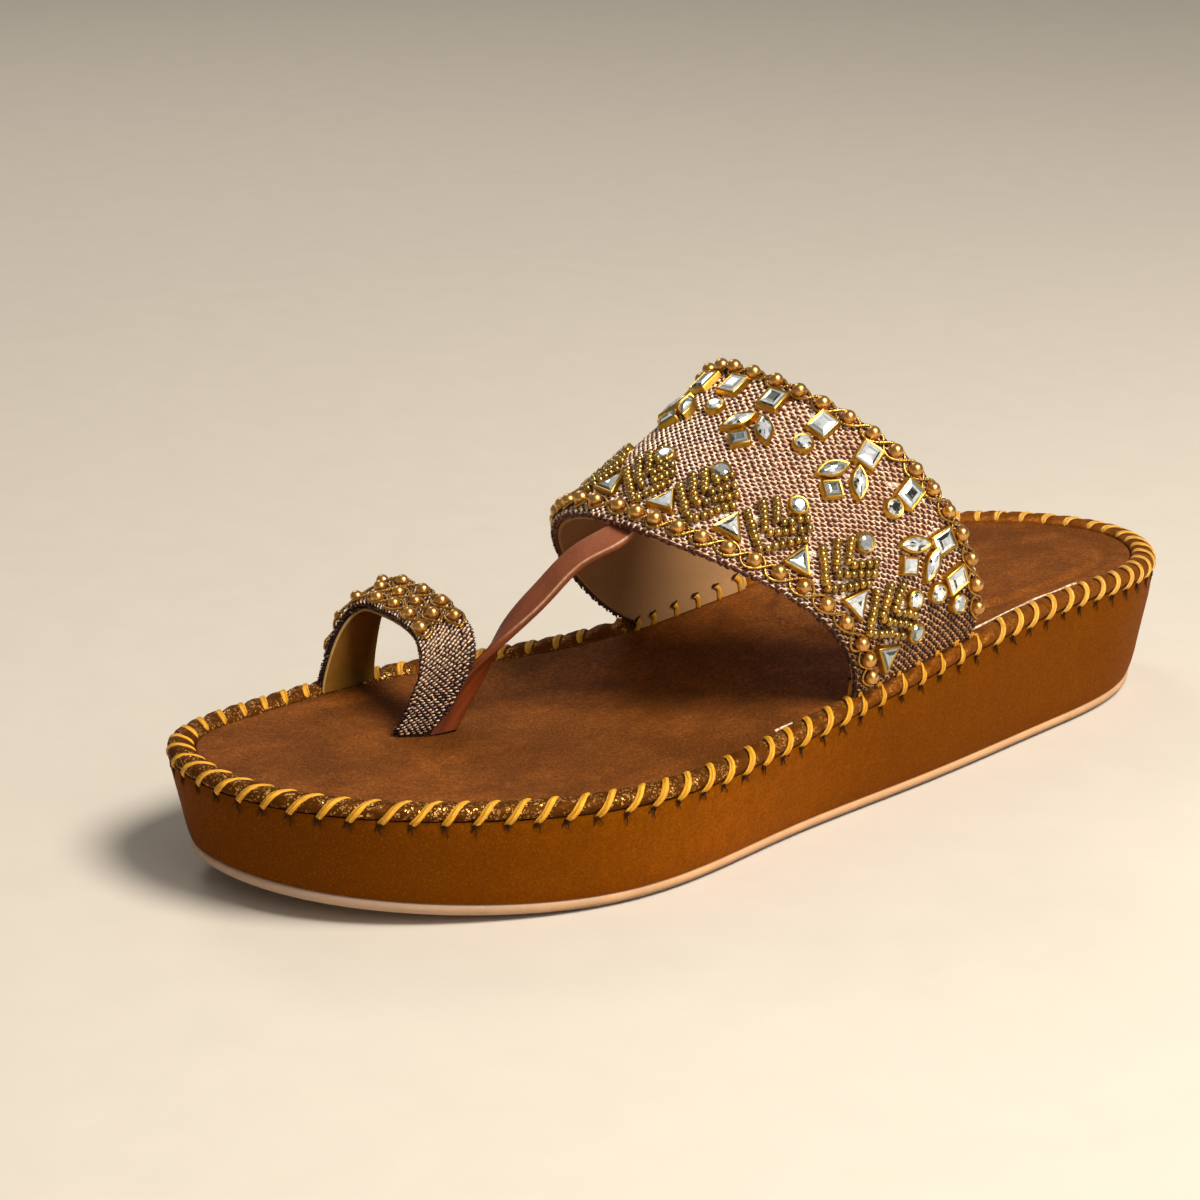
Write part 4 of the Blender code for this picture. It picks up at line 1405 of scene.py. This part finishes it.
def strap_path(stations):
    """Middle line of the thong strap, the way its top face looks and the way to its side."""
    under = BAND_WALL - STRAP_SINK + STRAP_THICK / 2
    point, _, _, normal = strap_frame(BAND_ROWS, 0.0, np.array(STRAP_LAP))
    points = np.array([*STRAP_ROUTE, *(point - normal * under)])
    along = chord_lengths(points)
    at = np.linspace(0, along[-1], stations)
    middle = spline(along, points)(at)
    tangent = unit(np.gradient(middle, axis=0))
    turned_by = smooth_step(0, STRAP_TURNED_BY * along[len(STRAP_ROUTE)], at)[:, None]
    face = np.array(STRAP_FACE_AT_FOOT) * (1 - turned_by) + np.array(STRAP_FACE_AT_BAND) * turned_by
    face = unit(face - tangent * np.sum(face * tangent, axis=1, keepdims=True))
    return middle, face, np.cross(tangent, face), at


class SANDAL_OT_thong(bpy.types.Operator):
    """Folded leather strap from its slit in the footbed up under the band"""
    bl_idname = "sandal.thong"
    bl_label = "Thong strap"

    def execute(self, context):
        middle, face, side, at = strap_path(120)
        widths = np.interp(middle[:, 2], (middle[0, 2], middle[-1, 2]), (STRAP_FOOT_WIDTH, STRAP_WIDTH))
        angles = np.linspace(0, 2 * np.pi, 48, endpoint=False)
        across = signed_power(np.cos(angles), 0.5)
        high = signed_power(np.sin(angles), 0.5) * (0.94 + 0.06 * np.cos(angles * 2))
        points = (middle[:, None] + side[:, None] * (across[:, None] * widths[:, None, None] / 2)
                  + face[:, None] * (high[:, None] * STRAP_THICK / 2))
        lean = unit(middle[1] - middle[0])
        level = ground(points[0, :, 0], points[0, :, 1]) - 0.25
        points[0] += lean * ((level - points[0, :, 2]) / lean[2])[:, None]
        obj = swept("thong_strap", points, strap_leather(), 70, at / 100)
        # A painted highlight runs along the strap's folded lateral edge, from a third of the way up.
        hand = np.sign(np.sum(side * (0.5, -0.85, 0.0), axis=1))[:, None]
        edge = bump(across * hand, 1.0, 0.04) * bump(high, 0.8, 0.28)
        edge *= smooth_step(0.28, 0.5, at / at[-1])[:, None]
        mark(obj.data, "edge", edge.ravel())
        finished(obj, "strap_leather", "upper")
        return {"FINISHED"}


def pearl_row(start, end, pitch, crowd=0.0):
    """Runs of a row of pearls, which may crowd at the lateral foot and from the middle on."""
    runs, at = [], start
    while at < end:
        runs.append(at)
        far = 0.4 * smooth_step(28.0, 42.0, at) + 0.6 * smooth_step(78.0, 98.0, at)
        at += pitch * (1 - crowd * float(smooth_step(16.0, 6.0, at) + far))
    return np.array(runs)


def wire_pair(strap, runs, deeps, amplitude, seed):
    """Two gold wires that pass on opposite sides of every pearl and cross between them."""
    rng = np.random.default_rng(seed)
    index = np.arange(len(runs))
    steps = np.linspace(-0.5, len(runs) - 0.5, len(runs) * 10 + 1)
    along, centre = np.interp(steps, index, runs), np.interp(steps, index, deeps)
    ahead, behind = steps > index[-1], steps < 0
    along[ahead] = runs[-1] + (steps[ahead] - index[-1]) * (runs[-1] - runs[-2])
    along[behind] = runs[0] + steps[behind] * (runs[1] - runs[0])
    lines = []
    for hand in (1, -1):
        wave = hand * signed_power(np.cos(np.pi * steps), 0.8)
        loose = 1 + 0.12 * np.interp(steps, index, rng.normal(0, 1, len(runs)))
        deep = np.clip(centre + wave * amplitude * loose, 0.25, strap.width_at(along) - 0.25)
        lift = 0.78 + 0.30 * hand * np.sin(np.pi * steps)
        points, normal = strap.path(along, deep, lift)
        lines.append((points, normal, np.ones(len(points)), float(hand > 0) * 0.5))
    return lines


class SANDAL_OT_pearls(bpy.types.Operator):
    """Metal pearls along both edges of the band and over the toe loop, in couched gold wire"""
    bl_idname = "sandal.pearls"
    bl_label = "Pearls and wire"

    def execute(self, context):
        sizes = strap_sizes()
        diameter = sizes.pearl / MM
        front = pearl_row(5.5, BAND.length - 3.5, sizes.front_pitch / MM, 0.36)
        back = pearl_row(8.2, BAND.length - 5.0, sizes.back_pitch / MM)
        # Each row as its strap, runs, distances from the front edge, swing of its wires and size.
        rows = [
            (BAND, front, FRONT_PEARLS_DEEP, 2.1, 1.0),
            (BAND, back, BAND.width_at(back) - BACK_PEARLS_FROM_EDGE, 1.9, 1.0),
        ]
        pitch = sizes.loop_pitch / MM
        for shift, share in ((0.0, 0.17), (0.5, 0.5), (0.0, 0.83)):
            runs = pearl_row(LOOP.length * 0.37 + pitch * shift, LOOP.length * 0.93, pitch)
            rows.append((LOOP, runs, LOOP.width_at(runs) * share, 2.05, LOOP_PEARL))
        rng = np.random.default_rng(21)
        profile = [(np.sin(a) / 2, -np.cos(a) / 2) for a in np.linspace(0.22, np.pi - 0.22, 9)]
        pearl = closed_mesh("pearl", *turned(profile, 14), 180)
        places, wires, shares = [], [], []
        for seed, (strap, runs, deeps, amplitude, share) in enumerate(rows, 1):
            runs = runs + rng.normal(0, 0.18, len(runs))
            deeps = deeps + rng.normal(0, 0.12, len(runs))
            point, way, _, normal = strap.frame(runs, deeps)
            spun = unit(normal + rng.normal(0, 0.5, (len(runs), 3)))
            places.append((point + normal * (diameter * share * 0.42), way, spun))
            shares += [[share]] * len(runs)
            wires += wire_pair(strap, runs, deeps, amplitude, seed)
        size_at = shares * rng.uniform(0.95, 1.05, (len(shares), 1))
        plate = lacquered_brass("antique_gold_plate", look().gold, 0.33)
        obj = set_on("pearls", pearl, places, plate, rng.random(len(shares)), size_at, diameter)
        finished(obj, "antique_gold")
        wire = sizes.wire / MM
        finished(cords("gold_wires", wires, gilt_purl(), wire, wire, 6), "antique_gold")
        return {"FINISHED"}


def fan_line(at, line):
    """Corners of one line of beads in a fan: two straight arms and a rounded turn."""
    left, turn, right = (np.array(corner) + (at, 0.0) for corner in line)
    low = turn - (0.0, 0.7)
    return np.array((
        left, left + (low - left) * 0.42, left + (low - left) * 0.78, turn,
        right + (low - right) * 0.76, right + (low - right) * 0.4, right,
    ))


class SANDAL_OT_seed_beads(bpy.types.Operator):
    """Fans of seed beads between the triangles"""
    bl_idname = "sandal.seed_beads"
    bl_label = "Seed beads"

    def execute(self, context):
        sizes = strap_sizes()
        diameter, pitch = sizes.bead / MM, sizes.bead_pitch / MM
        rng = np.random.default_rng(31)
        profile = [(0.24, -0.34), (0.43, -0.26), (0.5, 0.0), (0.43, 0.26), (0.24, 0.34)]
        # A bead's hole runs along its thread, which is the shape's x.
        vertices, faces = turned(profile, 9)
        bead = closed_mesh("seed_bead", vertices[:, [2, 0, 1]], faces, 180)
        places = []
        for fan in range(TRIANGLES - 1):
            at = motif(fan + 0.5) + rng.normal(0, 0.3)
            for line in FAN_LINES[:4 if fan in LONG_FANS else 3]:
                corners = fan_line(at, line)
                lengths = chord_lengths(corners)
                count = int(lengths[-1] / pitch) + 1
                runs = np.linspace(0, lengths[-1], count) + rng.normal(0, 0.05, count)
                place = spline(lengths, corners)(np.clip(runs, 0, lengths[-1]))
                place = (place + rng.normal(0, 0.07, (count, 2)))[rng.random(count) > BEADS_LOST]
                point, _, _, normal = BAND.frame(place[:, 0], place[:, 1])
                seated = point + normal * diameter * 0.44
                way = unit(unit(np.gradient(seated, axis=0)) + rng.normal(0, 0.08, seated.shape))
                places.append((seated, way, unit(normal + rng.normal(0, 0.12, seated.shape))))
        count = sum(len(seated) for seated, _, _ in places)
        size_at = rng.uniform(0.88, 1.08, (count, 3))
        obj = set_on("seed_beads", bead, places, bead_lustre(), rng.random(count), size_at, diameter)
        finished(obj, "antique_gold")
        return {"FINISHED"}


def inset_outline(outline, distance):
    """Anticlockwise outline moved inwards, its corners mitred."""
    before, after = np.roll(outline, 1, axis=0), np.roll(outline, -1, axis=0)
    first, second = (
        np.stack((-way[:, 1], way[:, 0]), axis=1) for way in (unit(outline - before), unit(after - outline))
    )
    both = unit(first + second)
    reach = distance / np.maximum(np.sum(both * first, axis=1), 0.35)
    return outline + both * reach[:, None]


def setting_shape(name, outline, height):
    """Metal cup with a rolled lip round a stone."""
    steps = (
        (-0.3, -0.35), (-0.12, 0.15), (-0.06, height - 0.3), (0.06, height - 0.05),
        (0.22, height + 0.06), (0.42, height + 0.02), (0.56, height - 0.16), (0.6, height - 0.6),
    )
    return closed_mesh(name, *stacked([(inset_outline(outline, distance), z) for distance, z in steps]), 38)


def stone_shape(name, outline, height, steps):
    """Cut stone: shares of its size and heights over its setting, from girdle to table."""
    outline = inset_outline(outline, 0.5)
    middle = outline.mean(axis=0)
    levels = [
        (middle + (outline - middle) * share, height + z) for share, z in ((1.0, -0.6), (1.0, -0.12), *steps)
    ]
    mesh = closed_mesh(name, *stacked(levels))
    # Every cut face has its own brightness, for what the foil behind it mirrors.
    mark(mesh, "facet", np.random.default_rng(len(outline)).random(len(mesh.polygons)), "FACE")
    return mesh


def cut_corner(outline, cut):
    """Corners of an outline cut by short edges."""
    before, after = np.roll(outline, 1, axis=0), np.roll(outline, -1, axis=0)
    pairs = np.stack((outline + unit(before - outline) * cut, outline + unit(after - outline) * cut), axis=1)
    return pairs.reshape(-1, 2)


def stone_outlines():
    """Outlines of the five cuts, x along the band and y to its back edge, with the steps of their cut."""
    def box(x, y):
        return np.array(((-x, -y), (x, -y), (x, y), (-x, y)))

    triangle = np.array(((3.5, -2.4), (0.0, 4.1), (-3.5, -2.4)))
    angles = np.linspace(0, 2 * np.pi, 16, endpoint=False)
    circle = 2.3 * np.stack((np.cos(angles), np.sin(angles)), axis=1)
    arc = np.linspace(-1, 1, 9)
    side = 2.0 * (1 - np.abs(arc) ** 1.9)
    leaf = np.concatenate((np.stack((side, arc * 4.4), axis=1), np.stack((-side, -arc * 4.4), axis=1)[1:-1]))
    return {
        "rectangle": (cut_corner(box(2.6, 3.05), 0.25), ((0.82, 0.12), (0.64, 0.24), (0.42, 0.34))),
        "square": (cut_corner(box(2.05, 2.25), 0.22), ((0.80, 0.12), (0.60, 0.24), (0.38, 0.34))),
        "triangle": (cut_corner(triangle, 0.3), ((0.72, 0.22), (0.22, 0.5))),
        "round": (circle, ((0.86, 0.16), (0.58, 0.4))),
        "leaf": (leaf, ((0.68, 0.28), (0.25, 0.5))),
    }


def stone_places():
    """Places of every stone by cut: along, deep and turn."""
    rng = np.random.default_rng(41)
    triangles = [(motif(k), TRIANGLE_DEEP, rng.normal(0, 0.07)) for k in range(TRIANGLES)]
    rounds = [
        (motif(k + 0.5) + 1.4 + rng.normal(0, 0.5), FAN_ROUND_DEEP + rng.normal(0, 0.4), 0.0)
        for k in range(TRIANGLES - 1)
    ]
    rounds += [(*LONE_ROUND, 0.0), *[(a, BAND.width_at(a) * share, 0.0) for a, share in ROUNDS_BY_RECTANGLES]]
    rectangles = [
        (a + rng.normal(0, 0.3), BAND.width_at(a) - RECTANGLE_FROM_BACK, rng.normal(0, 0.08))
        for a in RECTANGLES_ALONG
    ]
    leaves, squares = [], []
    for a in LEAVES_ALONG:
        deep = BAND.width_at(a) * 0.70
        leaves += [(a + 2.9 * hand, deep, 0.60 * hand + rng.normal(0, 0.05)) for hand in (1, -1)]
        squares.append((a - 0.2, deep - 4.9, 0.76 + rng.normal(0, 0.06)))
    return {
        "rectangle": rectangles, "square": squares, "triangle": triangles, "round": rounds, "leaf": leaves,
    }


class SANDAL_OT_stones(bpy.types.Operator):
    """Foiled stones in their metal settings"""
    bl_idname = "sandal.stones"
    bl_label = "Stones"

    def execute(self, context):
        height = strap_sizes().setting / MM
        brass, glass = lacquered_brass("polished_brass", look().brass, 0.32), foiled_glass()
        places = stone_places()
        settings, stones = [], []
        rng = np.random.default_rng(43)
        for cut, (outline, steps) in stone_outlines().items():
            at = np.array(places[cut])
            point, way, across, normal = BAND.frame(at[:, 0], at[:, 1])
            along = way * np.cos(at[:, 2:]) + across * np.sin(at[:, 2:])
            # The shape's x runs along and its y must run to the back edge.
            flip = np.sum(np.cross(normal, along) * across, axis=1, keepdims=True) < 0
            along = np.where(flip, -along, along)
            tilt = unit(normal + rng.normal(0, 0.04, normal.shape))
            tone = rng.random(len(at))
            cup = setting_shape(cut + "_cup", outline, height)
            gem = stone_shape(cut + "_gem", outline, height, steps)
            settings.append(set_on(cut + "_cups", cup, [(point, along, tilt)], brass, tone))
            stones.append(set_on(cut + "_gems", gem, [(point, along, tilt)], glass, tone))
        finished(joined("settings", settings), "antique_gold")
        finished(joined("stones", stones), "clear_stone")
        return {"FINISHED"}


# ---------------------------------------------------------------- stage
CAMERA_AT = (-0.4891, -0.5400, 0.2871)
CAMERA_YAW, CAMERA_PITCH, CAMERA_ROLL = 0.6977, 0.3261, -0.0062
CAMERA_LENS = 105.31
FLOOR, FLOOR_CORNERS = 2.5, ((-1, -1), (1, -1), (1, 1), (-1, 1))
# Lights: name, place, width, power and tint, all aimed at the middle of the sandal.
LIGHTS = (
    ("key", (0.10, -0.66, 0.95), 0.5, 19.0, (1.0, 0.97, 0.92)),
    ("back", (0.25, 0.95, 0.85), 0.5, 2.5, (1.0, 0.98, 0.95)),
    ("front", (-0.15, -1.0, 0.5), 0.6, 2.2, (1.0, 0.97, 0.93)),
)


class SANDAL_OT_stage(bpy.types.Operator):
    """Pale studio floor, soft lights and the camera"""
    bl_idname = "sandal.stage"
    bl_label = "Stage"

    def execute(self, context):
        scene = context.scene
        mesh = bpy.data.meshes.new("floor")
        mesh.from_pydata([(x * FLOOR, y * FLOOR, 0) for x, y in FLOOR_CORNERS], [], [(0, 1, 2, 3)])
        floor = new_object("floor", mesh, studio_paper())
        floor.location.z = -0.0001

        world = bpy.data.worlds.new("studio")
        world.use_nodes = True
        sky = world.node_tree.nodes["Background"].inputs
        sky["Color"].default_value, sky["Strength"].default_value = (1.0, 0.985, 0.96, 1.0), 0.22
        scene.world = world
        scene.view_settings.view_transform = "Standard"
        for name, place, width, power, tint in LIGHTS:
            data = bpy.data.lights.new(name, "AREA")
            data.shape, data.size, data.energy, data.color = "DISK", width, power, tint
            lamp = bpy.data.objects.new(name, data)
            lamp.location = place
            lamp.rotation_euler = (Vector((0, 0, 0.03)) - Vector(place)).to_track_quat("-Z", "Y").to_euler()
            scene.collection.objects.link(lamp)

        data = bpy.data.cameras.new("camera")
        data.lens, data.sensor_width = CAMERA_LENS, 36.0
        data.clip_start, data.clip_end = 0.01, 20.0
        camera = bpy.data.objects.new("camera", data)
        camera.matrix_world = Matrix.Translation(CAMERA_AT)
        for angle, axis in ((-CAMERA_YAW, "Z"), (np.pi / 2 - CAMERA_PITCH, "X"), (CAMERA_ROLL, "Z")):
            camera.matrix_world = camera.matrix_world @ Matrix.Rotation(angle, 4, axis)
        scene.collection.objects.link(camera)
        scene.camera = camera
        return {"FINISHED"}


# ---------------------------------------------------------------- add-on
OPERATORS = (
    SANDAL_OT_outsole, SANDAL_OT_platform, SANDAL_OT_rim, SANDAL_OT_footbed, SANDAL_OT_whipstitches,
    SANDAL_OT_seam_thread, SANDAL_OT_band, SANDAL_OT_toe_loop, SANDAL_OT_thong, SANDAL_OT_pearls,
    SANDAL_OT_seed_beads, SANDAL_OT_stones, SANDAL_OT_stage,
)


class SANDAL_PT_panel(bpy.types.Panel):
    """Sizes, colours and pieces of the sandal"""
    bl_idname = "SANDAL_PT_panel"
    bl_label = "Sandal"
    bl_space_type = "VIEW_3D"
    bl_region_type = "UI"
    bl_category = "Sandal"

    def draw(self, context):
        for group in (context.scene.sandal_sole, context.scene.sandal_straps, context.scene.sandal_colours):
            box = self.layout.box()
            for label in group.__annotations__:
                box.prop(group, label)
        for operator in OPERATORS:
            self.layout.operator(operator.bl_idname)


CLASSES = (SandalSole, SandalStraps, SandalColours, *OPERATORS, SANDAL_PT_panel)


def register():
    for cls in CLASSES:
        bpy.utils.register_class(cls)
    bpy.types.Scene.sandal_sole = PointerProperty(type=SandalSole)
    bpy.types.Scene.sandal_straps = PointerProperty(type=SandalStraps)
    bpy.types.Scene.sandal_colours = PointerProperty(type=SandalColours)


def unregister():
    del bpy.types.Scene.sandal_sole, bpy.types.Scene.sandal_straps, bpy.types.Scene.sandal_colours
    for cls in reversed(CLASSES):
        bpy.utils.unregister_class(cls)


def main():
    register()
    for operator in OPERATORS:
        group, name = operator.bl_idname.split(".")
        getattr(getattr(bpy.ops, group), name)()


if __name__ == "__main__":
    main()
